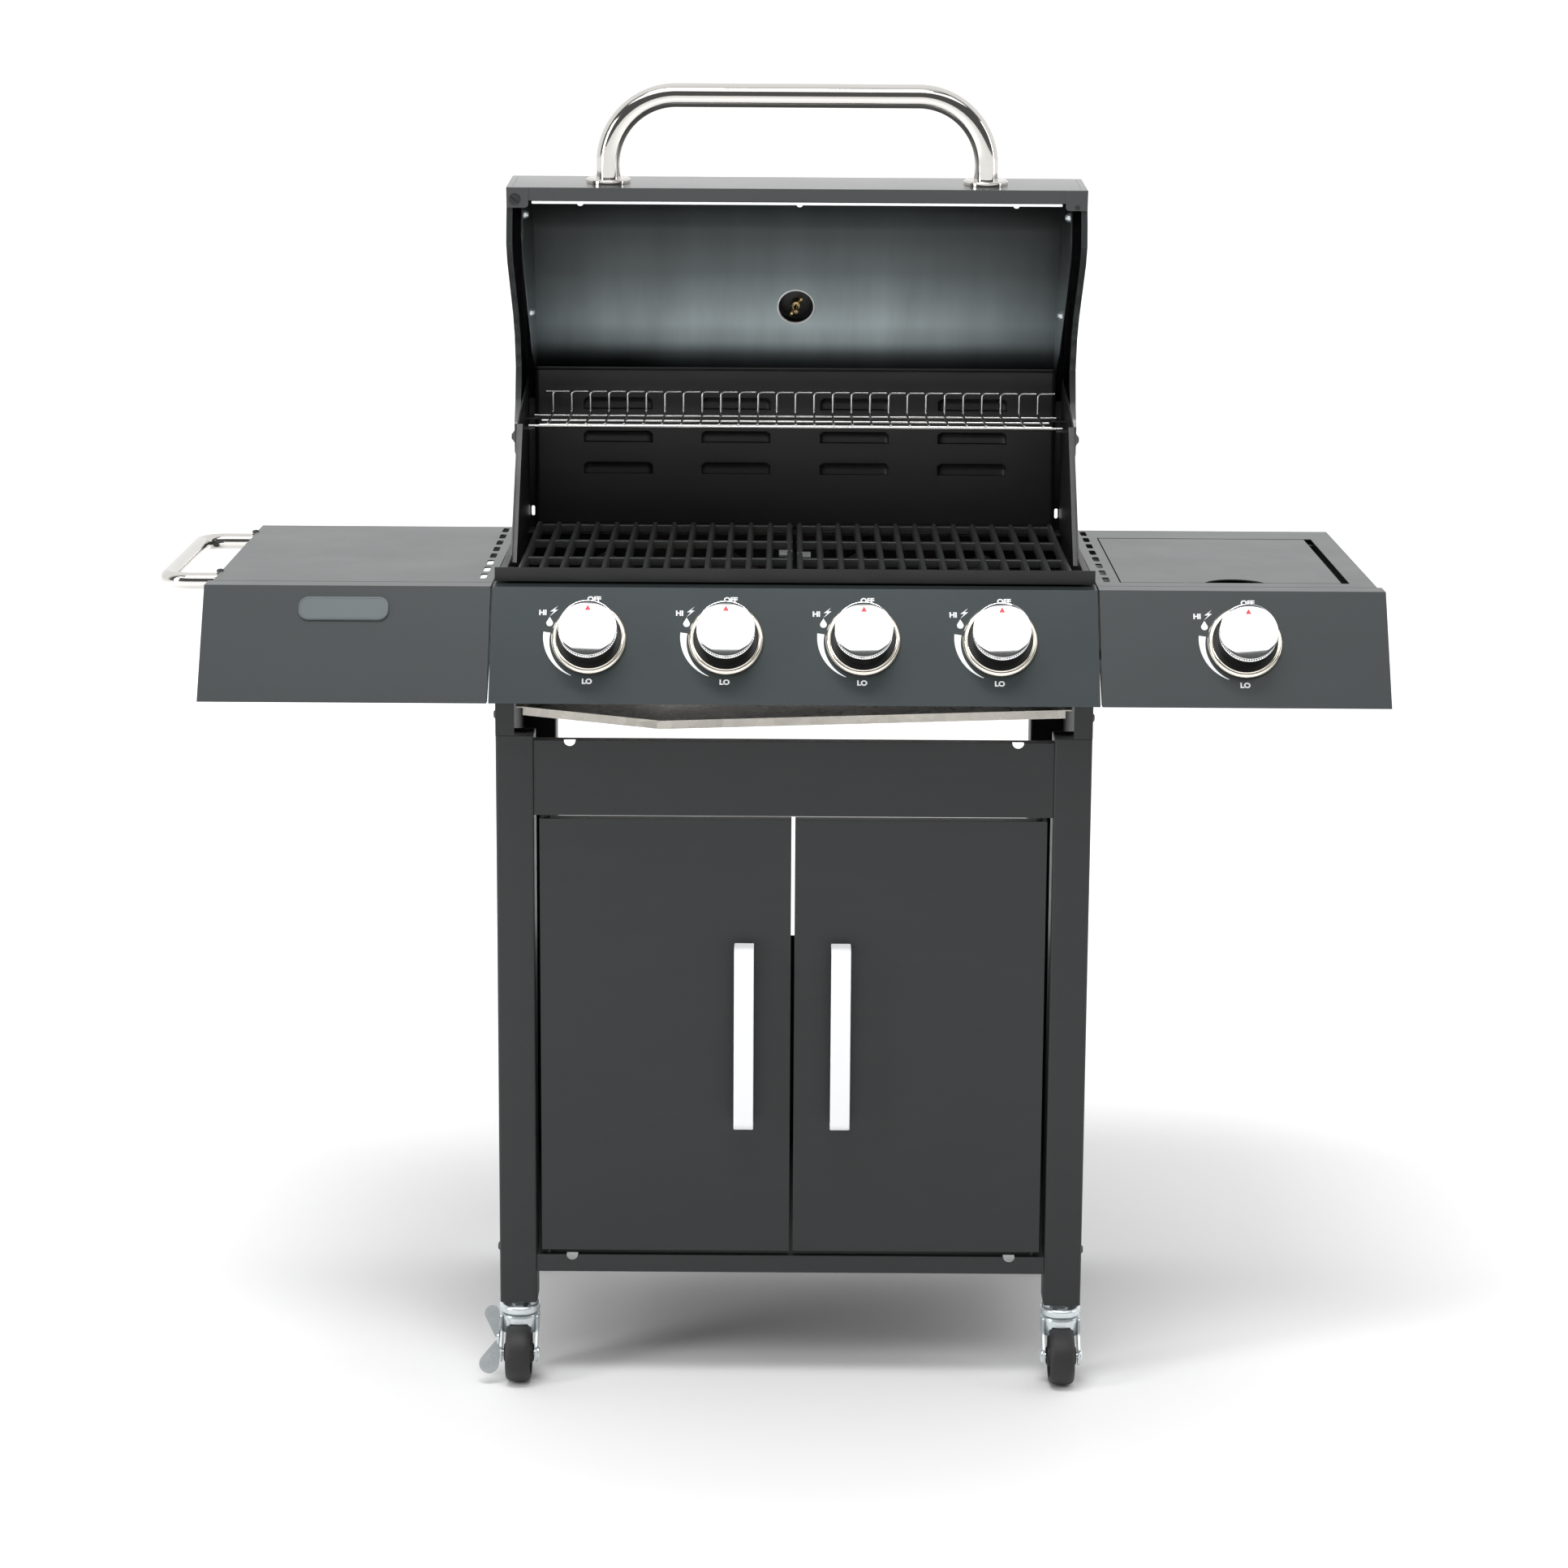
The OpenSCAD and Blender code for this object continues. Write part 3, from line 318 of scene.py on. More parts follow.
def spangleGroup():
    # zinc crystals: flat cells of slightly different tone, with a fine grain over them
    group, given, out = effectGroup("zincSpangle", grainInputs, grainOutputs)
    cells = group.nodes.new("ShaderNodeTexVoronoi")
    link(group, given["Place"], cells.inputs["Vector"])
    link(group, given["Grain"], cells.inputs["Scale"])
    crystal = group.nodes.new("ShaderNodeSeparateColor")
    group.links.new(cells.outputs["Color"], crystal.inputs[0])
    clouds = noise(group, given["Place"], 7.0, 3.0)
    tone = maths(group, "MULTIPLY", shift(group, crystal.outputs[0], given["Speckle"]),
                 shift(group, clouds, given["Cloud"]))
    group.links.new(tinted(group, given["Colour"], tone), out["Colour"])
    rough = shift(group, crystal.outputs[1], given["Smudge"])
    group.links.new(maths(group, "MULTIPLY", given["Roughness"], rough), out["Roughness"])
    group.links.new(noise(group, given["Place"], 700.0, 2.0), out["Height"])
    return group


def linerPaintedLightGroup():
    # painted reflection and shade on the liner's sheet: dark near the lip, palest low down,
    # darker again at the bottom fold and towards the ends, with faint upright streaks of painted reflection
    group, given, out = effectGroup("linerPaintedLight", grainInputs, grainOutputs)
    split = group.nodes.new("ShaderNodeSeparateXYZ")
    link(group, given["Place"], split.inputs[0])
    low, high = 1.11, 1.34
    # the ramp's tones by height are painted reflection and shade
    ramp = group.nodes.new("ShaderNodeValToRGB")
    height = maths(group, "DIVIDE", maths(group, "SUBTRACT", split.outputs["Z"], low), high - low)
    group.links.new(height, ramp.inputs["Fac"])
    paintedLightTones = [(0.0, 0.05), (0.08, 0.22), (0.15, 0.62), (0.24, 0.70), (0.38, 0.40), (0.52, 0.20), (0.70, 0.09),
             (0.88, 0.034), (1.0, 0.024)]
    ramp.color_ramp.elements[0].position, ramp.color_ramp.elements[1].position = 0.0, 1.0
    for place, tone in paintedLightTones[1:-1]:
        ramp.color_ramp.elements.new(place)
    for element, (place, tone) in zip(ramp.color_ramp.elements, paintedLightTones):
        element.color = (tone, tone, tone, 1)
    # upright streaks of painted reflection
    reflectionStreaks = noise(group, stretch(group, given["Place"], (1.0, 0.3, 0.12)), given["Grain"], 4.0, 0.6)
    clouds = noise(group, given["Place"], 7.0, 3.0)
    # painted shade: darker towards both ends
    off = maths(group, "ABSOLUTE", maths(group, "SUBTRACT", split.outputs["X"], 0.02))
    ends = maths(group, "SUBTRACT", 1.0, maths(group, "MULTIPLY", maths(group, "POWER", off, 2.0), 6.0))
    fine, broad = shift(group, reflectionStreaks, given["Speckle"]), shift(group, clouds, given["Cloud"])
    tone = maths(group, "MULTIPLY", fine, broad)
    tone = maths(group, "MULTIPLY", tone, ends)
    shade = tinted(group, ramp.outputs["Color"], tone)
    group.links.new(stretch(group, shade, given["Colour"]), out["Colour"])
    marks = noise(group, given["Place"], 28.0, 4.0, 0.65)
    worn = shift(group, marks, given["Smudge"])
    group.links.new(maths(group, "MULTIPLY", given["Roughness"], worn), out["Roughness"])
    group.links.new(reflectionStreaks, out["Height"])
    return group


effects = {"powder": powderGroup(), "brushed": brushedGroup(), "spangle": spangleGroup(),
           "paintedLinerLight": linerPaintedLightGroup()}

# colour, metallic, roughness, grain scale, speckle, cloud, smudge, bump height in mm, coat
finishes = {
    "cartPaint": dict(colour=(0.0135, 0.0148, 0.0158), roughness=0.5, grain=1500, speckle=0.25, cloud=0.10,
                      smudge=0.25, bump=0.012),
    "panelPaint": dict(colour=(0.031, 0.040, 0.042), metallic=0.45, roughness=0.40, grain=1300, speckle=0.55,
                       cloud=0.25, smudge=0.3, bump=0.010),
    "shelfPaint": dict(colour=(0.030, 0.036, 0.038), metallic=0.3, roughness=0.34, grain=1300, speckle=0.3,
                       cloud=0.12, smudge=0.3, bump=0.006, coat=0.12),
    "blackEnamel": dict(colour=(0.012, 0.012, 0.0125), roughness=0.42, grain=900, speckle=0.3, cloud=0.25,
                        smudge=0.4, bump=0.010),
    "lidPaint": dict(colour=(0.022, 0.0245, 0.026), roughness=0.34, grain=1300, speckle=0.25, cloud=0.15,
                     smudge=0.3, bump=0.006, coat=0.5),
    # the liner's tones come from painted reflection and shade in its effect group
    "linerSteelPaintedLight": dict(effect="paintedLinerLight", colour=(0.83, 0.97, 1.0), metallic=0.25, roughness=0.34, grain=26,
                       speckle=0.5, cloud=0.35, smudge=0.35, bump=0.0),
    "castIron": dict(colour=(0.030, 0.031, 0.031), roughness=0.42, grain=420, speckle=0.6, cloud=0.3,
                     smudge=0.5, bump=0.12),
    # lighter iron for the grates' lifting tabs
    "brightTabIron": dict(colour=(0.26, 0.27, 0.275), metallic=0.6, roughness=0.4, grain=420, speckle=0.6,
                     cloud=0.5, smudge=0.5, bump=0.05),
    "tyre": dict(colour=(0.020, 0.020, 0.021), roughness=0.6, grain=500, speckle=0.4, cloud=0.35, smudge=0.4,
                 bump=0.04),
    "badgeGrey": dict(colour=(0.105, 0.125, 0.130), roughness=0.45, grain=1100, speckle=0.25, cloud=0.1,
                      smudge=0.2, bump=0.012),
    "blackPlastic": dict(colour=(0.010, 0.010, 0.010), roughness=0.45, grain=1200, speckle=0.3, cloud=0.2,
                         smudge=0.3, bump=0.01),
    "pullWhite": dict(colour=(0.90, 0.91, 0.92), roughness=0.38, grain=1500, speckle=0.06, cloud=0.05,
                      smudge=0.3, bump=0.006),
    "printWhite": dict(colour=(0.84, 0.85, 0.86), roughness=0.5, grain=2500, speckle=0.1, cloud=0.05,
                       smudge=0.2, bump=0.002),
    "pointerRed": dict(colour=(0.70, 0.07, 0.09), roughness=0.5, grain=2500, speckle=0.15, cloud=0.1,
                       smudge=0.2, bump=0.002),
    "dialWhite": dict(colour=(0.75, 0.74, 0.70), roughness=0.3, grain=1800, speckle=0.06, cloud=0.08,
                      smudge=0.3, bump=0.001, coat=0.8),
    "chrome": dict(effect="brushed", colour=(0.90, 0.91, 0.92), metallic=1.0, roughness=0.05, grain=300,
                   speckle=0.03, cloud=0.04, smudge=0.8, bump=0.0),
    "ivoryChrome": dict(effect="brushed", colour=(0.93, 0.87, 0.76), metallic=1.0, roughness=0.14, grain=600,
                        speckle=0.05, cloud=0.05, smudge=0.5, bump=0.001),
    "stainless": dict(effect="brushed", colour=(0.66, 0.645, 0.615), metallic=1.0, roughness=0.09, grain=120,
                      speckle=0.12, cloud=0.12, smudge=0.7, bump=0.002, drawn=(0.15, 6.0, 6.0)),
    "rackChrome": dict(effect="brushed", colour=(0.52, 0.52, 0.51), metallic=1.0, roughness=0.2, grain=500,
                       speckle=0.15, cloud=0.2, smudge=0.6, bump=0.002),
    "zinc": dict(effect="brushed", colour=(0.72, 0.77, 0.79), metallic=0.65, roughness=0.24, grain=400,
                 speckle=0.18, cloud=0.25, smudge=0.7, bump=0.006),
    "burnerSteel": dict(effect="brushed", colour=(0.50, 0.46, 0.40), metallic=1.0, roughness=0.33, grain=140,
                        speckle=0.25, cloud=0.5, smudge=0.5, bump=0.004, drawn=(6.0, 0.2, 6.0)),
    "galvanised": dict(effect="spangle", colour=(0.50, 0.475, 0.43), metallic=0.5, roughness=0.30, grain=85,
                       speckle=0.22, cloud=0.25, smudge=0.5, bump=0.004),
    "brass": dict(effect="brushed", colour=(0.66, 0.50, 0.25), metallic=1.0, roughness=0.28, grain=300,
                  speckle=0.15, cloud=0.4, smudge=0.5, bump=0.004),
    "jointBrown": dict(colour=(0.13, 0.09, 0.06), metallic=0.6, roughness=0.5, grain=500, speckle=0.6,
                       cloud=0.6, smudge=0.5, bump=0.03),
}


def makeFinish(name, colour, roughness, grain, speckle, cloud, smudge, bump, metallic=0.0, coat=0.0,
               effect="powder", drawn=(1.0, 1.0, 1.0)):
    material = bpy.data.materials.new(name)
    material.use_nodes = True
    tree = material.node_tree
    shader = tree.nodes["Principled BSDF"]
    place = tree.nodes.new("ShaderNodeTexCoord").outputs["Object"]
    look = tree.nodes.new("ShaderNodeGroup")
    look.node_tree = effects[effect]
    tree.links.new(place, look.inputs["Place"])
    look.inputs["Colour"].default_value = (*colour, 1)
    values = dict(Roughness=roughness, Grain=grain, Speckle=speckle, Cloud=cloud, Smudge=smudge)
    for label, value in values.items():
        look.inputs[label].default_value = value
    if effect == "brushed":
        look.inputs["Drawn"].default_value = drawn
    shader.inputs["Metallic"].default_value = metallic
    shader.inputs["Coat Weight"].default_value = coat
    shader.inputs["Coat Roughness"].default_value = 0.06
    tree.links.new(look.outputs["Colour"], shader.inputs["Base Color"])
    tree.links.new(look.outputs["Roughness"], shader.inputs["Roughness"])
    if bump:
        relief = tree.nodes.new("ShaderNodeBump")
        relief.inputs["Distance"].default_value = bump * mm
        tree.links.new(look.outputs["Height"], relief.inputs["Height"])
        tree.links.new(relief.outputs["Normal"], shader.inputs["Normal"])
    return material


paint = {name: makeFinish(name, **values) for name, values in finishes.items()}
print("finishes made:", len(paint))


# ---- parts carried over from the frame with softened edges ----

# node: edge radius in mm, finish, slot
softParts = {
    "top_rail": (0.7, "cartPaint", "cart_paint"),
    "bottom_shelf": (0.7, "cartPaint", "cart_paint"),
    "side_panels": (0.6, "cartPaint", "cart_paint"),
    "back_panel": (0.6, "cartPaint", "cart_paint"),
    "support_brackets": (0.6, "cartPaint", "black_enamel"),
    "door_left": (0.7, "cartPaint", "cart_paint"),
    "door_right": (0.7, "cartPaint", "cart_paint"),
    "firebox": (0.5, "blackEnamel", "black_enamel"),
    "control_panel": (0.7, "panelPaint", "panel_paint"),
    "left_shelf": (0.7, "shelfPaint", "shelf_paint"),
    "right_shelf": (0.7, "shelfPaint", "shelf_paint"),
    "side_burner_bowl": (0.6, "blackEnamel", "black_enamel"),
    "pot_support": (1.2, "castIron", "cast_iron"),
    "main_burners": (0.4, "burnerSteel", "stainless"),
    "flame_tamers": (0.6, "burnerSteel", "stainless"),
    "gas_manifold": (0.6, "zinc", "zinc"),
    "burner_valves": (0.8, "brass", "brass"),
    "lid_shell": (0.6, "lidPaint", "cart_paint"),
    "lid_liner": (0.5, "linerSteelPaintedLight", "liner_steel"),
    "lid_end_caps": (0.6, "lidPaint", "cart_paint"),
    "side_burner_lid": (0.7, "shelfPaint", "shelf_paint"),
    "drip_tray": (0.4, "galvanised", "galvanised"),
}
for node, (edge, finish, slot) in softParts.items():
    softened(node, edge, paint[finish])
for i in range(1, 6):
    softened(f"spindle_{i}", 0.3, paint["zinc"])
print("softened parts:", len(softParts) + 5)


# ---- cart ----

legSizes = dict(width=42, corner=3.0, wall=1.5, plug=3.0)


def legs(node, y):
    # a square tube with round corners and a plastic plug set in its open top
    low, high = (np.array(c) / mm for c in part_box(node))
    w, r, wall = legSizes["width"] / 2, legSizes["corner"], legSizes["wall"]
    x = midX - low[0] - w
    square = np.array([[-w, -w], [w, -w], [w, w], [-w, w]])
    outer = roundCorners(square, r, 6)
    inner = roundCorners(square * (1 - wall / w), r - wall, 6)
    n = len(outer)
    z0, z1 = low[2], high[2]
    rings = [(outer, z0), (outer, z1), (inner, z1), (inner, z1 - legSizes["plug"])]
    points = np.vstack([np.insert(o, 2, z, axis=1) for o, z in rings])
    faces = gridFaces(4, n, closeColumns=True) + [list(range(n))[::-1], list(range(3 * n, 4 * n))]
    leg = (points + [-x, y, 0], faces)
    addPiece(node + "_tubes", [leg, mirrored(leg)], "cart", paint["cartPaint"], [node], 30, 0.4)


cartHalfDepth = (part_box("rear_legs")[1].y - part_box("front_legs")[0].y) / 2 / mm
legY = cartHalfDepth - legSizes["width"] / 2
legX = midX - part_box("front_legs")[0].x / mm - legSizes["width"] / 2
legs("front_legs", -legY)
legs("rear_legs", legY)

boltSizes = dict(radius=8.0, height=3.2, hingeRadius=9.5, hingeHeight=4.6, recess=2.6, socket=3.4)


def boltHead(radius, height):
    # washer, domed head and hexagon socket, drawn along local Z; the dome is a circle's arc
    # whose heights are scaled to the head's height
    s, d = boltSizes["socket"], boltSizes["recess"]
    dome = arc((0, -radius * 0.55), radius * 1.02, 0, 90, 8)
    dome = dome[dome[:, 1] > 0.8] * [1, height / (radius * 0.47)]
    dome = dome[dome[:, 0] > s]
    head = lathe([[0, 0], [radius, 0], [radius, 0.8], *dome, [s, height]], 40)
    socket = lathe([[s, height], [s, height - d], [0, height - d]], 6)
    return joined([head, socket])


def frameBolts():
    # the same heads on both sides of the cart, and a larger one with a pin at the lid's hinge
    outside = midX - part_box("front_legs")[0].x / mm
    b = boltSizes
    small, large = boltHead(b["radius"], b["height"]), boltHead(b["hingeRadius"], b["hingeHeight"])
    left, up = (-1, 0, 0), (0, 1, 0)
    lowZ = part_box("bottom_shelf")[1].z / mm - 10
    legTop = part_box("front_legs")[1].z / mm
    spots = [(-legY, lowZ), (-legY, legTop + 20), (legY, lowZ), (legY, 700)]
    parts = [placed(small, (-outside, y, z), left, up) for y, z in spots]
    hinge = np.array(joints["lid_hinge"]["pos_m"]) / mm - middle
    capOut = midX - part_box("lid_end_caps")[0].x / mm
    parts.append(placed(large, (-capOut - 0.5, hinge[1], hinge[2]), left, up))
    pin = [[0, 0], [4, 0], [4, 11], [0, 11]]
    parts.append(placed(lathe(pin, 24), (-capOut - 0.5, hinge[1], hinge[2]), (1, 0, 0), up))
    parts += [mirrored(p) for p in parts]
    addPiece("frameBolts", parts, "cart", paint["blackPlastic"], ["frame_bolts"])


frameBolts()


pullSizes = dict(thickness=3.0, corner=9.0, edge=1.0)


def doorPull(node, name, body):
    # a flat strap bent back to the door at both ends
    low, high = (np.array(c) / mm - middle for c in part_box(node))
    t, r = pullSizes["thickness"], pullSizes["corner"]
    front, back = low[1], high[1]
    z0, z1 = low[2], high[2]
    outer = roundCorners([[back, z0], [front, z0], [front, z1], [back, z1]], [0, r, r, 0], 8, closed=False)
    inner = roundCorners([[back, z0 + t], [front + t, z0 + t], [front + t, z1 - t], [back, z1 - t]],
                         [0, r - t, r - t, 0], 8, closed=False)
    strap = prism(np.vstack([outer, inner[::-1]]), low[0], high[0])
    addPiece(name, [strap], body, paint["pullWhite"], [node], 30, pullSizes["edge"])


doorPull("door_handle_left", "leftPull", "left_door")
doorPull("door_handle_right", "rightPull", "right_door")
print("cart done")


# ---- casters ----

casterSizes = dict(trail=22.0, axleZ=32.5, raceRadius=23.0, forkTop=80.0, cheekIn=19.0, cheekOut=21.5)


def casterPlate():
    # swivel ring pressed hollow, with a rolled rim, a chamfered nut and the threaded stem
    ring = roundCorners([[6, 75.9], [19, 75.9], [23.2, 76.6], [23.2, 83.6], [20.8, 86.6], [13, 80.6],
                         [6, 79.6]],
                        [0.1, 2, 2.4, 2.6, 1.4, 3, 0.1], 5)
    nut = lathe([[0, 79.6], [8.2, 79.6], [9.0, 80.4], [9.0, 88.4], [8.2, 89.4], [0, 89.4]], 6)
    turns = np.arange(90.8, 118, 0.75)
    thread = np.stack([5.6 + 0.35 * (np.arange(len(turns)) % 2), turns], 1)
    stem = lathe([[0, 66.5], [5.9, 66.5], *thread.tolist(), [0, turns[-1]]], 32)
    rivet = lathe([[0, 66.2], [8.8, 66.2], [8.8, 67.0], [7, 69.0], [0, 69.0]], 32)
    return [lathe(np.vstack([ring, ring[:1]]), 64), nut, stem, rivet]


def fork():
    # cap with a rounded shoulder; below it a skirt whose lower edge is high at the front
    # and back and low at the sides, running into two cheeks that reach back to the axle;
    # the edge drops by 12 times a smooth step of how far the angle points sideways
    s = casterSizes
    r = s["raceRadius"]
    cap = lathe([[6.05, 69.4], [6.05, 75.3], [19, 75.3], [22.0, 74.4], [r, 72.2], [r, 69.6],
                 [21.4, 69.4]], 64)
    t = np.linspace(0, 2 * np.pi, 96, endpoint=False)
    side = np.clip((np.abs(np.cos(t)) - 0.42) / 0.25, 0, 1)
    low = 65.8 - 12.0 * side * side * (3 - 2 * side)
    rim = np.stack([[72.2] * len(t), low, low, [72.2] * len(t)])
    radius = np.array([r, r, r - 1.6, r - 1.6])[:, None] * (1 - 0.03 * side * (rim < 72))
    skirt = np.stack([radius * np.cos(t), radius * np.sin(t), rim], -1).reshape(-1, 3)
    shell = (skirt, gridFaces(4, len(t), closeRows=True, closeColumns=True))
    back, z = -s["trail"], s["axleZ"]
    outline = roundCorners([[-15, 74], [-18, 60], [back - 11, z + 8], [back - 7, z - 11], [back + 9, z - 9],
                            [10, 55], [15, 61], [15, 74]], [3, 30, 8, 7, 7, 16, 5, 3], 6)
    cheek = prism(outline, -s["cheekOut"], -s["cheekIn"])
    dome = lathe([[0, 0], [7.5, 0], [7.5, 1.2], [6.2, 2.4], [0, 2.8]], 32)
    rivet = placed(dome, (-s["cheekOut"], back, z), (-1, 0, 0), (0, 1, 0))
    axle = lathe([[0, -21.4], [3.95, -21.4], [3.95, 21.4], [0, 21.4]], 32)
    axle = placed(axle, (0, back, z), (1, 0, 0), (0, 1, 0))
    return [cap, shell, cheek, mirrored(cheek), rivet, mirrored(rivet), axle]


def wheel():
    # tread with rounded shoulders, a moulded groove in each side, and a raised hub
    half = [[4.05, 17], [9, 17], [11.2, 15.6], [12, 11.6], [14.5, 10.4], [20, 10.6], [24, 11.2], [25.2, 13.6],
            [28.2, 14], [30.2, 12.6], [31.8, 9.5], [32.4, 5], [32.5, 0]]
    profile = np.vstack([np.array(half) * [1, -1], half[-2::-1], [half[0][0], -half[0][1]]])
    return [lathe(profile, 96)]


def brakePedal():
    # rocker: a boss on the stud and two rounded tabs, with raised words on their faces; the
    # tangents leave both circles where the cosine is their difference over their distance
    x, thick = -casterSizes["cheekOut"] - 0.5, 2.2
    y, z = -8.0, 52.0
    boss = placed(lathe([[3.05, 0], [7, 0], [7, thick], [3.05, thick]], 40), (x, y, z), (-1, 0, 0), (0, 1, 0))
    web = prism(roundCorners([[y - 4, z + 5], [y - 20, z + 7], [y - 24, z + 4], [y - 24, z - 5],
                              [y - 20, z - 8], [y - 4, z - 5]], 2, 4), x - thick, x)
    parts = [boss, web]
    tabs = [dict(tilt=25, foot=4.5, start=-24.3, lean=-5.9, long=24.6, small=2.6, big=8.7, word="ON"),
            dict(tilt=-165, foot=-4.5, start=-24.5, lean=-8.5, long=23.5, small=2.6, big=11.3, word="OFF")]
    for tab in tabs:
        # a drop outline: a small and a big circle joined by their two outer tangents
        lean = np.hypot(tab["lean"], tab["long"])
        split = np.degrees(np.arccos((tab["big"] - tab["small"]) / lean))
        blob = arc((0, lean), tab["big"], -90 + split, 270 - split, 28)
        tail = arc((0, 0), tab["small"], 270 - split, 270 + split, 8)
        drop = np.vstack([blob, tail])
        turn = np.arctan2(-tab["lean"], tab["long"])
        spin = np.array([[np.cos(turn), np.sin(turn)], [-np.sin(turn), np.cos(turn)]])
        drop = drop @ spin
        blade = prism(drop, -0.9, 0.9, axis=2)
        a = np.radians(tab["tilt"])
        up, out = np.array([0, np.sin(a), np.cos(a)]), np.array([0, -np.cos(a), np.sin(a)])
        face = out if out[1] < 0 else -out
        frameOf = np.stack([[1, 0, 0], up, face])
        centre = np.array([tab["start"], y - 22, z + tab["foot"]])
        parts.append((blade[0] @ frameOf + centre, blade[1]))
        word = lettering(tab["word"], 5.0, 0.02)
        middleOf = np.array([0, lean]) @ spin
        flat = prism(arc((0, 0), tab["big"] - 1.6, 0, 342, 19), 0.8, 1.15, axis=2)
        parts.append(((flat[0] + [*middleOf, 0]) @ frameOf + centre, flat[1]))
        upright = np.stack([[1, 0, 0], np.cross(face, [1, 0, 0]), face])
        parts.append((word[0] @ upright + centre + (np.array([*middleOf, 1.3]) @ frameOf), word[1]))
    return parts


corners = {"front_left": (-1, -1), "front_right": (1, -1), "rear_left": (-1, 1), "rear_right": (1, 1)}
plate, forkParts, wheelParts = casterPlate(), fork(), wheel()
spots = {name: np.array([sx * legX, sy * legY, 0]) for name, (sx, sy) in corners.items()}
plates = [(p + spot, f) for spot in spots.values() for p, f in plate]
addPiece("swivelPlates", plates, "cart", paint["zinc"], ["caster_stems"], 30)
for name, spot in spots.items():
    parts = [(p + spot, f) for p, f in forkParts]
    if name.endswith("left"):
        stud = placed(lathe([[0, 0], [2.95, 0], [2.95, 3.4], [2.3, 4.4], [0, 4.4]], 32),
                      (-casterSizes["cheekOut"], -8, 52), (-1, 0, 0), (0, 1, 0))
        parts.append((stud[0] + spot, stud[1]))
        pedal = [(p + spot, f) for p, f in brakePedal()]
        addPiece("brakePedal_" + name, pedal, bodyOf["brake_" + name], paint["zinc"],
                 ["brake_" + name], 30, 0.3)
    addPiece("fork_plate_" + name, parts, bodyOf["fork_" + name], paint["zinc"],
             ["fork_" + name], 30, 0.3)
    axle = spot + [0, -casterSizes["trail"], casterSizes["axleZ"]]
    parts = [placed(p, axle, (1, 0, 0), (0, 1, 0)) for p in wheelParts]
    addPiece("roller_" + name, parts, bodyOf["wheel_" + name], paint["tyre"], ["wheel_" + name], 40)
print("casters done")


# ---- control panel: knobs, bezels and print ----

panelOut = np.array([0, -np.cos(np.radians(30)), np.sin(np.radians(30))])   # square to the panel
panelUp = np.array([0, np.sin(np.radians(30)), np.cos(np.radians(30))])     # up its slope
knobSizes = dict(middle=22.5, face=39.5, dome=1.25, cap=31.9, wall=31.2, skirt=28.9, foot=5.5, knurls=72)


def knobSpot(i):
    low, high = (np.array(c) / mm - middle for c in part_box(f"knob_{i}"))
    return (low + high) / 2 - panelOut * knobSizes["middle"]


def onPanel(part, spot):
    return placed(part, spot, panelOut)


def knobShape():
    # a slightly domed face, a rounded rim, a finely knurled wall, a bright lower bead,
    # then a step in to the skirt; the face falls by the dome's rise times the square of
    # the radius over the cap's radius
    k = knobSizes
    r = np.linspace(0, 31.0, 14)
    face = np.stack([r, k["face"] - k["dome"] * (r / k["cap"]) ** 2], 1)
    rim = arc((31.1, 37.5), 0.8, 78, -60, 6)
    wall = [[k["wall"], h] for h in (36.6, 34.6, 32.6, 30.8)]
    bead = arc((31.05, 29.6), 0.85, 62, -90, 6)
    lower = [[k["skirt"], 28.6], [k["skirt"], 24], [k["skirt"], k["foot"] + 0.6],
             [k["skirt"] - 0.6, k["foot"]],
             [k["skirt"] - 2, k["foot"]], [k["skirt"] - 2, 20], [4.4, 20], [4.4, k["foot"]], [0, k["foot"]]]
    profile = np.vstack([face, rim, wall, bead, lower])
    marked = (profile[:, 0] == k["wall"]).astype(float)
    return lathe(np.column_stack([profile, marked]), k["knurls"] * 4, 0.011, k["knurls"])


def pointer():
    # small flat triangle near the top of the face
    k = knobSizes
    z = k["face"] - k["dome"] * (22 / k["cap"]) ** 2
    return prism(roundCorners([[-3.4, 19.6], [3.4, 19.6], [0, 26.0]], 0.25, 3), z - 0.5, z + 0.2, axis=2)


def bezelShape():
    # pressed ring: outer flank, round crest, and a slope down into the recess
    profile = roundCorners([[41.5, 0], [41.2, 3.2], [38.4, 7.4], [35.6, 5.4], [34.2, 0.4], [36, 0.2]],
                           [0.1, 2.2, 2.4, 1.5, 0.2, 0.1], 6)
    return lathe(np.vstack([profile, profile[:1]]), 128)


def recessShape():
    # dark dish behind the knob
    return lathe([[36, 0.15], [33, 0.5], [10, 0.5], [8.5, 0.2], [8.5, 0.1], [36, 0.05], [36, 0.15]], 96)


spotsOfKnobs = {i: knobSpot(i) for i in range(1, 6)}
for i, spot in spotsOfKnobs.items():
    addPiece(f"controlKnob_{i}", [onPanel(knobShape(), spot)], bodyOf[f"knob_{i}"], paint["chrome"],
             [f"knob_{i}"], 28)
    addPiece(f"knobPointer_{i}", [onPanel(pointer(), spot)], bodyOf[f"knob_{i}"],
             paint["pointerRed"])
bezels = [onPanel(bezelShape(), s) for s in spotsOfKnobs.values()]
addPiece("bezelRings", bezels, "cart", paint["ivoryChrome"], ["knob_bezels"], 40)
recesses = [onPanel(recessShape(), s) for s in spotsOfKnobs.values()]
addPiece("knobRecesses", recesses, "cart", paint["blackPlastic"])

printSizes = dict(letter=6.3, lift=0.10, off=(4.6, 46.2), high=(-51.4, 30.3), low=(-1.2, -49.0),
                  spark=(-39.4, 32.0), drop=(-43.6, 19.6), bandStart=(42.9, 50.8), bandEnd=(46.0, 46.6))


def flatShape(outline, z):
    o = np.asarray(outline, float)
    return np.insert(o, 2, z, axis=1), [list(range(len(o)))]


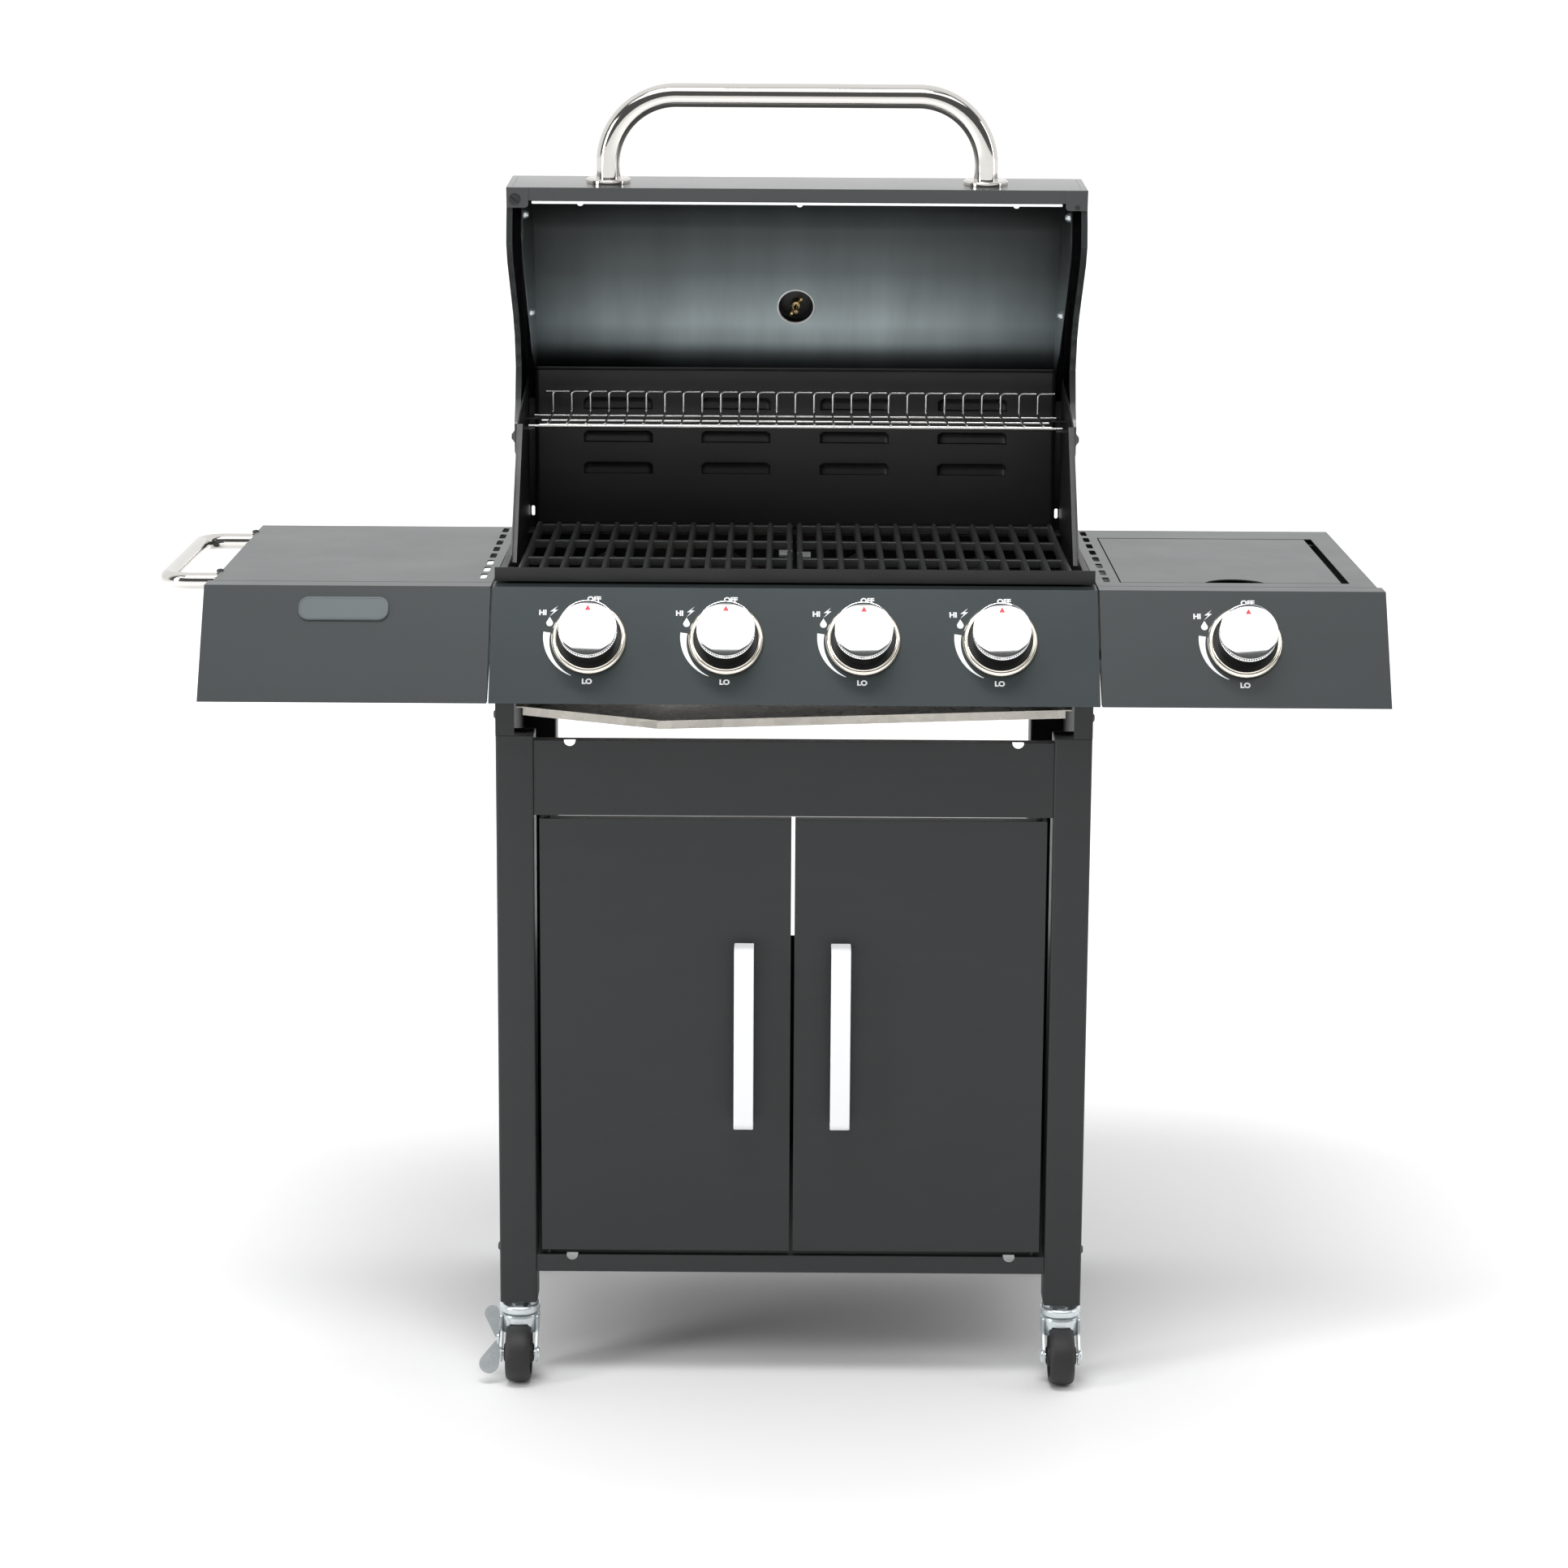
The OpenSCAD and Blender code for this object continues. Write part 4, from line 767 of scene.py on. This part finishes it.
def printMarks():
    # OFF, HI, LO, a spark, a drop and the tapering band that runs round from HI to LO
    p = printSizes
    z = p["lift"]
    marks = []
    for text, (x, y) in (("OFF", p["off"]), ("HI", p["high"]), ("LO", p["low"])):
        points, faces = lettering(text, p["letter"], 0.05)
        marks.append((points * [1.08, 1, 1] + [x, y, z], faces))
    spark = np.array([[4.4, 6.0], [-4.0, -0.6], [0.3, -0.5], [-4.4, -6.2], [4.6, 1.5], [0.6, 1.5]])
    marks.append(flatShape(spark + p["spark"], z))
    t = np.radians(np.linspace(-215, 35, 20))
    bulb = np.stack([3.7 * np.cos(t), 3.7 * np.sin(t) - 1.6], 1)
    marks.append(flatShape(np.vstack([bulb, [[0.0, 5.6]]]) + p["drop"], z))
    angle = np.radians(np.linspace(171, 246, 26))
    inner, outer = np.linspace(p["bandStart"], p["bandEnd"], 26).T
    ring = np.stack([np.concatenate([outer, inner[::-1]]) * np.cos(np.concatenate([angle, angle[::-1]])),
                     np.concatenate([outer, inner[::-1]]) * np.sin(np.concatenate([angle, angle[::-1]]))], 1)
    n = len(angle)
    quads = [[i, i + 1, 2 * n - 2 - i, 2 * n - 1 - i] for i in range(n - 1)]
    marks.append((np.insert(ring, 2, z, axis=1), quads))
    return joined(marks)


marks = printMarks()
addPiece("panelPrint", [onPanel(marks, s) for s in spotsOfKnobs.values()], "cart", paint["printWhite"],
         closed=False)

badgeSizes = dict(width=98.6, height=26.8, corner=10.8, thickness=3.0, rim=1.6, lip=0.5)


def badge():
    # a pill with a raised rim round a shallow face
    low, high = (np.array(c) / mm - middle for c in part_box("badge_plate"))
    s = badgeSizes
    spot = (low + high) / 2 - panelOut * s["thickness"] / 2
    w, h, r = s["width"] / 2, s["height"] / 2, s["corner"]

    def pill(inset):
        return roundCorners([[-w + inset, -h + inset], [w - inset, -h + inset], [w - inset, h - inset],
                             [-w + inset, h - inset]], r - inset, 10)
    rings = [(0, 0.0), (0, 2.0), (0.3, 2.7), (0.9, 3.0), (s["rim"], 3.0), (s["rim"] + 0.4, 3.0 - s["lip"])]
    outlines = [np.insert(pill(inset), 2, z, axis=1) for inset, z in rings]
    n = len(outlines[0])
    last = (len(rings) - 1) * n
    faces = gridFaces(len(rings), n, closeColumns=True) + [list(range(n))[::-1], list(range(last, last + n))]
    addPiece("shelfBadge", [onPanel((np.vstack(outlines), faces), spot)], "cart", paint["badgeGrey"],
             ["badge_plate"], 40)


badge()


def seamStrips():
    # dark joint lines along the front of each shelf, where the top meets the fascia
    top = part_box("left_shelf")[1].z / mm
    lines = []
    for node in ("left_shelf", "right_shelf"):
        low, high = (np.array(c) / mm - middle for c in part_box(node))
        for y, wide in ((-170.2, 1.3), (-196.0, 1.0)):
            outline = [[y, top - 0.4], [y + wide, top - 0.4], [y + wide, top + 0.06], [y, top + 0.06]]
            inner = 335.4 * np.sign(low[0] + high[0])
            outer = (643 if y > -180 else 649) * np.sign(inner)
            lines.append(prism(outline, min(inner, outer), max(inner, outer)))
    addPiece("shelfSeams", lines, "cart", paint["blackPlastic"])


seamStrips()
print("control panel done")


# ---- side handle ----

def sideHandle():
    # bent tube with a collar and a clamp screw where each end enters the shelf
    low, high = (np.array(c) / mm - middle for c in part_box("side_handle"))
    r = (high[2] - low[2]) / 2
    z = (high[2] + low[2]) / 2
    x, y0, y1 = low[0] + r, low[1] + r, high[1] - r
    path = roundCorners([[high[0], y0, z], [x, y0, z], [x, y1, z], [high[0], y1, z]],
                        [0, 28, 28, 0], 14, closed=False)
    parts = [tube(path, r, (0, 0, 1), 40)]
    addPiece("sideRail", parts, "cart", paint["stainless"], ["side_handle"], 60)
    clamps = []
    for y in (y0, y1):
        collar = lathe([[r + 0.1, 0], [r + 4.5, 0], [r + 4.5, 2.2], [r + 3.4, 3.2], [r + 0.1, 3.2],
                        [r + 0.1, 0]], 48)
        clamps.append(placed(collar, (high[0], y, z), (-1, 0, 0), (0, 1, 0)))
        dome = lathe([[0, 0], [4.5, 0], [4.2, 2.0], [2.6, 3.2], [0, 3.6]], 24)
        clamps.append(placed(dome, (high[0] - 1.5, y, z + r + 1.0)))
    addPiece("sideRailCollars", clamps, "cart", paint["blackPlastic"])


sideHandle()


# ---- side burner ----

def sideBurner():
    # cast body, brass ring with gas ports, and a black cap over it
    low, high = (np.array(c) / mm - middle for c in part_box("side_burner_head"))
    x, y = (low[:2] + high[:2]) / 2
    z = low[2]
    body = lathe([[0, 0], [14.4, 0], [14.4, 26], [18, 30], [30, 31], [38.8, 33.5], [38.8, 36], [0, 36]], 72)
    addPiece("burnerCasting", [placed(body, (x, y, z))], "cart", paint["burnerSteel"],
             ["side_burner_head"])
    ports = [[0, 36, 0], [37.8, 36, 0], [38.4, 37, 0], [38.4, 38, 1], [38.4, 43, 1], [38.4, 44, 0],
             [37.5, 45.6, 0], [0, 45.6, 0]]
    addPiece("burnerRing", [placed(lathe(ports, 288, 0.03, 48), (x, y, z))], "cart", paint["brass"])
    cap = [[0, 45.6], [34, 45.6], [34.6, 46.4], [33.8, 48.2], [28, 49.8], [0, 50.8]]
    addPiece("burnerCap", [placed(lathe(cap, 72), (x, y, z))], "cart", paint["castIron"])


sideBurner()


# ---- inside the firebox ----

louvreSizes = dict(columns=(-212, -71, 71, 212), rows=(992, 1030, 1070), length=84, height=15.5, corner=9.0,
                   depth=5.8)


def backWall():
    # sheet with louvres pressed backwards: each one is deepest just above its straight
    # lower edge and fades to nothing at its top and ends; the sheet's top edge rolls forward
    low, high = (np.array(c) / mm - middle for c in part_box("back_wall"))
    front, thick = high[1] - 1.5, 1.2
    s = louvreSizes
    x = np.unique(np.concatenate([np.linspace(low[0], high[0], 120)] +
                                 [c + np.linspace(-0.5, 0.5, 57) * s["length"] for c in s["columns"]]))
    edges = [r - s["height"] / 2 + 3 for r in s["rows"]]
    z = np.unique(np.concatenate([np.linspace(low[2], high[2] - 4, 24)] +
                                 [e + np.array([-0.25, 0.25]) for e in edges] +
                                 [e + np.linspace(0.5, s["height"], 14) for e in edges]))
    gx, gz = np.meshgrid(x, z, indexing="ij")
    depth = np.zeros_like(gx)
    for c in s["columns"]:
        for e in edges:
            past = np.stack([np.abs(gx - c) - s["length"] / 2 + s["corner"],
                             gz - e - s["height"] + s["corner"]])
            edge = np.clip(1 - np.hypot(*np.clip(past, 0, None)) / s["corner"], 0, 1) * (gz > e)
            depth = np.maximum(depth, s["depth"] * np.sqrt(1 - (1 - edge) ** 2))
    # the roll along the top is a quarter circle of 4 mm and a short lip
    roll = np.radians(np.linspace(0, 90, 8))
    topY = np.concatenate([np.zeros(len(z)), -4 * (1 - np.cos(roll)), [-6.0, -6.0]])
    topZ = np.concatenate([z, high[2] - 4 + 4 * np.sin(roll), [high[2], high[2] - 4]])
    full = np.concatenate([depth, np.zeros((len(x), len(topY) - len(z)))], 1)
    frontSide = np.stack([np.repeat(x[:, None], len(topZ), 1), front + full + topY,
                          np.repeat(topZ[None], len(x), 0)], -1)
    rows, columns = len(x), len(topZ)
    sheet = (frontSide.reshape(-1, 3), [f[::-1] for f in gridFaces(rows, columns)])
    piece = addPiece("louvredWall", [sheet], "cart", paint["blackEnamel"], ["back_wall"], 40,
                     closed=False)
    wall = piece.modifiers.new("sheet", "SOLIDIFY")
    wall.thickness, wall.offset = thick * mm, -1
    return piece


backWall()

grateSizes = dict(bars=14, foot=8.0, crown=4.6, cross=(-84, 33), crossDrop=2.4,
                  tab=dict(y=-62, length=13, wide=15))


def grate(node, name, side):
    # cast bars with a tapered, round-topped section, tied by flat cross bars a little lower
    low, high = (np.array(c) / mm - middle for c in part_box(node))
    s = grateSizes
    x0, x1 = (low[0], high[0]) if side > 0 else (-high[0], -low[0])
    y0, y1, z0, z1 = low[1], high[1], low[2], high[2]
    foot, crown = s["foot"] / 2, s["crown"] / 2
    bar = roundCorners([[-foot, z0], [foot, z0], [foot, z0 + 5], [crown, z1], [-crown, z1], [-foot, z0 + 5]],
                       [0.8, 0.8, 1.5, 1.6, 1.6, 1.5], 3)
    parts = []
    for x in np.linspace(x0 + foot, x1 - foot, s["bars"]):
        points, faces = prism(bar + [x, 0], y0, y1, axis=1)
        parts.append((points, faces))
    top = z1 - s["crossDrop"]
    ties = [y0, s["cross"][0], s["cross"][1], y1 - 8]
    for y in ties:
        rail = roundCorners([[y, z0 + 0.4], [y + 8, z0 + 0.4], [y + 8, top], [y, top]], 1.0, 3)
        parts.append(prism(rail, x0 + 0.5, x1 - 0.5))
    if side < 0:
        parts = [mirrored(p) for p in parts]
    addPiece(name, parts, "cart", paint["castIron"], [node], 35)
    # a bright lifting tab that leans over the split edge
    t = s["tab"]
    lean = roundCorners([[0, z1 - 6], [t["length"], z1 - 1.6], [t["length"] + 1, z1 - 0.1],
                         [t["length"] - 4, z1 - 0.2], [0, z1 - 3]], [0.2, 1.0, 0.5, 1.5, 0.4], 4)
    tab = prism(lean + [t["y"] if side > 0 else t["y"] + 12, 0], x0 + 1, x0 + 1 + t["wide"])
    addPiece(name + "Tab", [tab if side > 0 else mirrored(tab)], "cart", paint["brightTabIron"],
             bevel=0.3)


grate("grate_left", "leftGrate", -1)
grate("grate_right", "rightGrate", 1)

rackSizes = dict(wire=1.7, thin=1.35, count=27, bend=4.5, rear=22)


def warmingRack():
    # long wires left to right; each cross wire runs back, then stands up and turns
    # sideways with a round bend to meet the next one along the top
    low, high = (np.array(c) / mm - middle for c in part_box("warming_rack"))
    s = rackSizes
    half = (high[0] - low[0]) / 2
    front, rear = low[1] + s["wire"], high[1] - s["thin"]
    floor, top = low[2] + s["wire"], high[2] - s["wire"]
    parts = []
    longWires = [(front, floor, half), (front + 8, floor, half - 12), ((front + rear) / 2, floor, half - 12),
                 (rear - s["wire"], floor, half)]
    for y, z, h in longWires:
        parts.append(tube(np.array([[-h, y, z], [0, y, z], [h, y, z]]), s["wire"], (0, 1, 0), 12))
    inner = half - s["rear"]
    xs = np.linspace(-inner, inner, s["count"])
    pitch = xs[1] - xs[0]
    for x in xs:
        lay = roundCorners([[x, front - 1, floor + 2.6], [x, rear, floor + 2.6],
                            [x, rear, top - s["bend"] - 1]],
                           [0, s["bend"], 0], 5, closed=False)
        parts.append(tube(lay, s["thin"] - 0.1, (1, 0, 0), 10))
        hook = roundCorners([[x, rear, top - 9], [x, rear, top], [x + pitch - 2.5, rear, top]],
                            [0, s["bend"], 0], 5, closed=False)
        parts.append(tube(hook, s["thin"] - 0.1, (0, 1, 0), 10))
    start = np.array([[-inner - 8, rear, top], [-inner + 2, rear, top]])
    parts.append(tube(start, s["thin"] - 0.2, (0, 1, 0), 10))
    addPiece("rackWires", parts, "cart", paint["rackChrome"], ["warming_rack"], 50)


warmingRack()
print("firebox done")


# ---- lid ----

lidHinge = np.array(joints["lid_hinge"]["pos_m"]) / mm - middle
lidOpen = np.radians(joints["lid_hinge"]["range_deg"][1])
lidSizes = dict(lip=(-309, -100), handleRise=45, handleBend=78, handleReach=100, handleRadius=14,
                gauge=(-145, 105.9), crown=14, nuts=((-276, -84), (-149, -4)))


def onLid(part):
    # the lid's pieces are drawn closed about the hinge and swung back to the open pose
    c, s = np.cos(lidOpen), np.sin(lidOpen)
    turn = np.array([[1, 0, 0], [0, c, -s], [0, s, c]])
    return part[0] @ turn + lidHinge, part[1]


def lidHandle():
    s = lidSizes
    r = s["handleRadius"]
    low, high = (np.array(c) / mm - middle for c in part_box("lid_handle"))
    half = (high[0] - low[0]) / 2 - r
    y, z = s["lip"][0], s["lip"][1] + s["handleRise"]
    reach = y - s["handleReach"]
    path = roundCorners([[-half, y, z], [-half, reach, z], [half, reach, z], [half, y, z]],
                        [0, s["handleBend"], s["handleBend"], 0], 28, closed=False)
    addPiece("lidBar", [onLid(tube(path, r, (0, 0, 1), 56))], "lid", paint["stainless"],
             ["lid_handle"], 60)
    flange = roundCorners([[r + 0.1, 0], [25.4, 0], [25.4, 4.4], [23.6, 5.9], [r + 1.6, 5.9], [r + 0.1, 5.9]],
                          [0.05, 0.3, 1.2, 0.8, 0.4, 0.1], 4)
    ring = lathe(np.vstack([flange, flange[:1]]), 72)
    rings = [onLid(placed(ring, (x, y, z), (0, -1, 0))) for x in (-half, half)]
    addPiece("lidBarFlanges", rings, "lid", paint["stainless"], ["handle_flanges"], 35)


lidHandle()


def thermometer():
    # outside: chrome rim, white dial with marks and a needle; inside: gasket, stem, wing nut
    s = lidSizes
    y, z = s["gauge"]
    a = np.radians(s["crown"])
    up = np.array([0, -np.sin(a), np.cos(a)])
    spot = np.array([0, y, z])

    def onGauge(part, x=0.0, h=0.0):
        return onLid(placed(part, spot + np.array([x, 0, 0]) + up * h, up))
    rim = roundCorners([[27.5, 0.2], [31, 0.2], [31, 9.5], [28.6, 12], [26.6, 11.2], [26.6, 9.6],
                        [27.5, 9.0]],
                       [0.1, 0.5, 1.5, 1.2, 0.4, 0.2, 0.1], 4)
    stem = lathe([[0, -30], [1.6, -30], [2.4, -28.6], [2.5, 0], [0, 0]], 24)
    rimRing = lathe(np.vstack([rim, rim[:1]]), 96)
    addPiece("gaugeRim", [onGauge(rimRing), onGauge(stem)], "lid", paint["chrome"],
             ["thermometer"], 35)
    dial = lathe([[0, 0.2], [27.4, 0.2], [27.4, 9.1], [0, 9.1]], 72)
    addPiece("gaugeDial", [onGauge(dial)], "lid", paint["dialWhite"])
    marks = []
    for k, t in enumerate(np.radians(np.linspace(225, -45, 31))):
        long, wide = (4.2, 0.9) if k % 5 == 0 else (2.4, 0.45)
        radial, side = np.array([np.cos(t), np.sin(t)]), np.array([-np.sin(t), np.cos(t)])
        ends = [24.5 * radial + side * wide / 2, 24.5 * radial - side * wide / 2,
                (24.5 - long) * radial - side * wide / 2, (24.5 - long) * radial + side * wide / 2]
        marks.append(prism(np.array(ends), 9.05, 9.2, axis=2))
    addPiece("gaugeMarks", [onGauge(m) for m in marks], "lid", paint["blackPlastic"])
    needle = prism(np.array([[-0.9, -5.5], [0.9, -5.5], [0.25, 19], [-0.25, 19]]) @
                   np.array([[0.6, 0.8], [-0.8, 0.6]]), 9.6, 9.9, axis=2)
    hub = lathe([[0, 9.1], [2.6, 9.1], [2.2, 10.6], [0, 10.8]], 32)
    addPiece("gaugeNeedle", [onGauge(needle), onGauge(hub)], "lid", paint["pointerRed"])
    nut = lathe([[2.55, -12], [4.8, -12], [6.2, -7], [6.4, -3], [2.55, -2.9]], 32)
    wing = roundCorners([[4.2, -8.5], [8.0, -16.5], [14.0, -17.5], [14.5, -11], [5.5, -4]],
                        [0.5, 3, 3.2, 3, 1], 5)
    blade = prism(wing, -1.3, 1.3, axis=1)
    turn = np.radians(-58)
    tilt = (np.cos(turn), np.sin(turn) * np.cos(a), np.sin(turn) * np.sin(a))
    wings = [onGauge(nut)]
    wings += [onLid(placed(w, spot, up, tilt)) for w in (blade, mirrored(blade))]
    tip = lathe([[0, -31.4], [2.2, -31.2], [3.0, -30.0], [3.0, -27.5], [2.4, -27.2], [0, -27.2]], 24)
    wings.append(onGauge(tip))
    addPiece("gaugeWingNut", wings, "lid", paint["brass"])
    gasket = lathe([[2.6, -0.5], [19, -0.5], [19, -2.2], [17.5, -2.8], [2.6, -2.8]], 64)
    addPiece("gaugeGasket", [onGauge(gasket)], "lid", paint["blackPlastic"])
    hole = lathe([[20.7, -13.2], [22.0, -13.2], [22.6, -15.2], [22.3, -16.2], [21.3, -16.5], [20.7, -15.8],
                  [20.7, -13.2]], 72)
    addPiece("linerGrommet", [onGauge(hole)], "lid", paint["pullWhite"])


thermometer()


def lidNuts():
    # domed nut on a washer at each corner of the liner's sides
    low, high = (np.array(c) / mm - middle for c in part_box("lid_nuts"))
    nut = joined([lathe([[0, 0], [5.6, 0], [5.6, 0.8], [0, 0.8]], 32),
                  lathe([[0, 0.8], [4.8, 0.8], [4.8, 3.0], [4.1, 3.4], [0, 3.4]], 6),
                  lathe([[0, 3.3], [3.7, 3.3], [3.4, 4.8], [2.0, 5.7], [0, 5.9]], 24)])
    parts = [onLid(placed(nut, (low[0], y, z), (1, 0, 0), (0, 1, 0))) for y, z in lidSizes["nuts"]]
    parts += [mirrored(p) for p in parts]
    addPiece("linerNuts", parts, "lid", paint["zinc"], ["lid_nuts"])


lidNuts()


def lidTrim():
    # the liner's bright folded hem below the lip, with three small scallops, and the
    # plug in the corner caps, with a black disk for the hole as painted shade
    y, z = lidSizes["lip"]
    steps = np.linspace(-301, 301, 1205)
    dip = np.zeros_like(steps)
    for c in (-246, 3, 249):
        dip = np.maximum(dip, np.sqrt(np.clip(3.4 ** 2 - (steps - c) ** 2, 0, None)) * 0.7)
    inner = y + 18.4 + dip
    rows = [(np.full_like(steps, y + 15.6), z - 0.3), (inner, z - 0.3), (inner, z + 1.2),
            (np.full_like(steps, y + 15.6), z + 1.2)]
    points = np.stack([np.stack([steps, r, np.full_like(steps, h)], 1) for r, h in rows])
    n = len(steps)
    ends = [[0, n, 2 * n, 3 * n], [n - 1, 4 * n - 1, 3 * n - 1, 2 * n - 1]]
    hem = (points.reshape(-1, 3), gridFaces(4, n, closeRows=True) + ends)
    addPiece("linerHem", [onLid(hem)], "lid", paint["pullWhite"])
    # moulded corner plates with one round inner corner; the left one carries a slotted plug
    sizes = dict(width=24.5, height=22.6, inset=9.7, drop=13.4, plug=6.7, lift=0.9)
    edge = y + 0.6
    outline = roundCorners([[-329.4, edge], [-329.4, edge + sizes["height"]],
                            [-329.4 + sizes["width"], edge + sizes["height"]],
                            [-329.4 + sizes["width"], edge]], [3, 0.3, 4.5, 0.3], 6)
    plate = prism(outline, z - sizes["lift"], z + 0.5, axis=2)
    addPiece("lidCorners", [onLid(plate), onLid(mirrored(plate))], "lid", paint["lidPaint"],
             bevel=0.3)
    spot = np.array([-330 + sizes["inset"], y + sizes["drop"], z - sizes["lift"]])
    half = roundCorners([[-6.5, 0.8], [6.5, 0.8], [5.4, 3.6], [0, 6.7], [-5.4, 3.6]], [0.2, 0.2, 2, 3, 2], 4)
    plug = [prism(half, 0, 1.3, axis=2), prism(half * [1, -1], 0, 1.3, axis=2),
            lathe([[0, 0], [6.6, 0], [6.6, 0.4], [0, 0.4]], 32)]
    parts = [onLid(placed(p, spot, (0, 0, -1), (0.8, 0.6, 0))) for p in plug]
    # black disk where the hole is: painted shade
    hole = lathe([[0, 0], [3.0, 0], [3.0, 0.15], [0, 0.15]], 32)
    parts.append(onLid(placed(hole, spot * [-1, 1, 1] + [-2, 6, 0], (0, 0, -1))))
    for nutY, nutZ in lidSizes["nuts"]:
        for side in (-1, 1):
            parts.append(onLid(placed(lathe([[0, 0], [3.0, 0], [3.0, 0.15], [0, 0.15]], 24),
                                      (side * 312.0, nutY - 6.5, nutZ - 1.0), (-side, 0, 0), (0, 1, 0))))
    addPiece("capPlugs", parts, "lid", paint["blackPlastic"])


lidTrim()
print("lid done")


# ---- drip tray joint ----

def trayJoint():
    # brown tab folded over the valley of the tray's front edge
    low, high = (np.array(c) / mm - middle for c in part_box("drip_tray"))
    x, zLow = -148, low[2]
    outline = roundCorners([[x - 9, zLow + 9.6], [x - 9, zLow + 0.7], [x, zLow + 0.15], [x + 9, zLow + 0.7],
                            [x + 9, zLow + 9.6], [x, zLow + 9.1]], 0.4, 3)
    points, faces = prism(outline, low[1] + 0.02, low[1] + 1.0, axis=1)
    addPiece("trayJoint", [(points, faces)], "tray", paint["jointBrown"], bevel=0.2)


trayJoint()


# ---- floor, light and camera ----

floorSizes = dict(half=40.0, colour=(0.86, 0.86, 0.86), glow=(0.0, 0.45))


def floor():
    h = floorSizes["half"]
    mesh = bpy.data.meshes.new("floor")
    mesh.from_pydata([(-h, -h, 0), (h, -h, 0), (h, h, 0), (-h, h, 0)], [], [(0, 1, 2, 3)])
    material = makeFinish("floorPaper", floorSizes["colour"], 0.85, 60, 0.015, 0.01, 0.1, 0.0)
    # the paper glows a little more the further it is from the grill, so it ends in plain white
    tree = material.node_tree
    shader = tree.nodes["Principled BSDF"]
    length = tree.nodes.new("ShaderNodeVectorMath")
    length.operation = "LENGTH"
    tree.links.new(tree.nodes["Texture Coordinate"].outputs["Object"], length.inputs[0])
    ramp = tree.nodes.new("ShaderNodeValToRGB")
    tree.links.new(maths(tree, "MULTIPLY", length.outputs["Value"], 0.25), ramp.inputs["Fac"])
    near, far = floorSizes["glow"]
    ramp.color_ramp.elements[0].position, ramp.color_ramp.elements[0].color = 0.12, (near, near, near, 1)
    ramp.color_ramp.elements[1].position, ramp.color_ramp.elements[1].color = 0.45, (far, far, far, 1)
    tree.links.new(ramp.outputs["Color"], shader.inputs["Emission Color"])
    shader.inputs["Emission Strength"].default_value = 1.0
    mesh.materials.append(material)
    plane = bpy.data.objects.new("floor", mesh)
    bpy.context.scene.collection.objects.link(plane)


lights = {
    "overheadBox": dict(place=(-0.4, -1.35, 4.3), aim=(0, -0.2, 0.9), size=(2.6, 0.7), power=80),
    "leftBox": dict(place=(-3.3, -1.9, 1.8), aim=(0, 0, 0.9), size=(0.8, 2.2), power=55),
    "rightBox": dict(place=(3.4, -0.6, 1.9), aim=(0, 0, 0.9), size=(0.5, 2.2), power=14),
}


room = dict(strength=1.05, dim=0.10, ceiling=0.8, panel=1.9, panelLow=(0.664, 0.672),
            panelHigh=(0.832, 0.845))


def lookFrom(thing, place, aim):
    thing.location = place
    thing.rotation_mode = "QUATERNION"
    thing.rotation_quaternion = (Vector(aim) - Vector(place)).to_track_quat("-Z", "Y")


def studio():
    for name, s in lights.items():
        lamp = bpy.data.lights.new(name, "AREA")
        lamp.shape, lamp.size, lamp.size_y, lamp.energy = "RECTANGLE", s["size"][0], s["size"][1], s["power"]
        holder = bpy.data.objects.new(name, lamp)
        bpy.context.scene.collection.objects.link(holder)
        lookFrom(holder, s["place"], s["aim"])
    world = bpy.data.worlds.new("studio")
    world.use_nodes = True
    bpy.context.scene.world = world
    tree = world.node_tree
    background = tree.nodes["Background"]
    # white behind the grill, a dim room on the cook's side, and one bright panel high in front
    direction = tree.nodes.new("ShaderNodeTexCoord").outputs["Generated"]
    split = tree.nodes.new("ShaderNodeSeparateXYZ")
    tree.links.new(direction, split.inputs[0])

    def band(socket, low, high):
        step = tree.nodes.new("ShaderNodeMapRange")
        step.interpolation_type = "SMOOTHSTEP"
        tree.links.new(socket, step.inputs["Value"])
        step.inputs["From Min"].default_value, step.inputs["From Max"].default_value = low, high
        return step.outputs["Result"]
    w = room
    wall = band(split.outputs["Y"], -0.25, 0.12)
    overhead = band(split.outputs["Z"], 0.86, 0.97)
    base = maths(tree, "MAXIMUM", wall, maths(tree, "MULTIPLY", overhead, w["ceiling"]))
    base = maths(tree, "MAXIMUM", base, w["dim"])
    panel = maths(tree, "MULTIPLY", band(split.outputs["Z"], *w["panelLow"]),
                  maths(tree, "SUBTRACT", 1.0, band(split.outputs["Z"], *w["panelHigh"])))
    front = maths(tree, "SUBTRACT", 1.0, band(split.outputs["Y"], -0.30, -0.24))
    bright = maths(tree, "MULTIPLY", maths(tree, "MULTIPLY", panel, front), w["panel"])
    tree.links.new(maths(tree, "MAXIMUM", base, bright), background.inputs["Color"])
    background.inputs["Strength"].default_value = w["strength"]
    bpy.context.scene.view_settings.view_transform = "Standard"


cameraSizes = dict(place=(-10, -4034, 1612), tilt=10.386, turn=0.03, roll=0.35, lens=81.4, shiftY=-0.12)


def camera():
    s = cameraSizes
    data = bpy.data.cameras.new("camera")
    data.lens, data.sensor_width, data.shift_y = s["lens"], 36, s["shiftY"]
    data.clip_end = 200
    holder = bpy.data.objects.new("camera", data)
    bpy.context.scene.collection.objects.link(holder)
    holder.location = (np.array(s["place"]) + middle) * mm
    holder.rotation_mode = "QUATERNION"
    level = Euler((np.radians(90 - s["tilt"]), 0, np.radians(s["turn"]))).to_quaternion()
    holder.rotation_quaternion = level @ Quaternion((0, 0, 1), np.radians(s["roll"]))
    bpy.context.scene.camera = holder


floor()
studio()
camera()
bpy.context.view_layer.update()
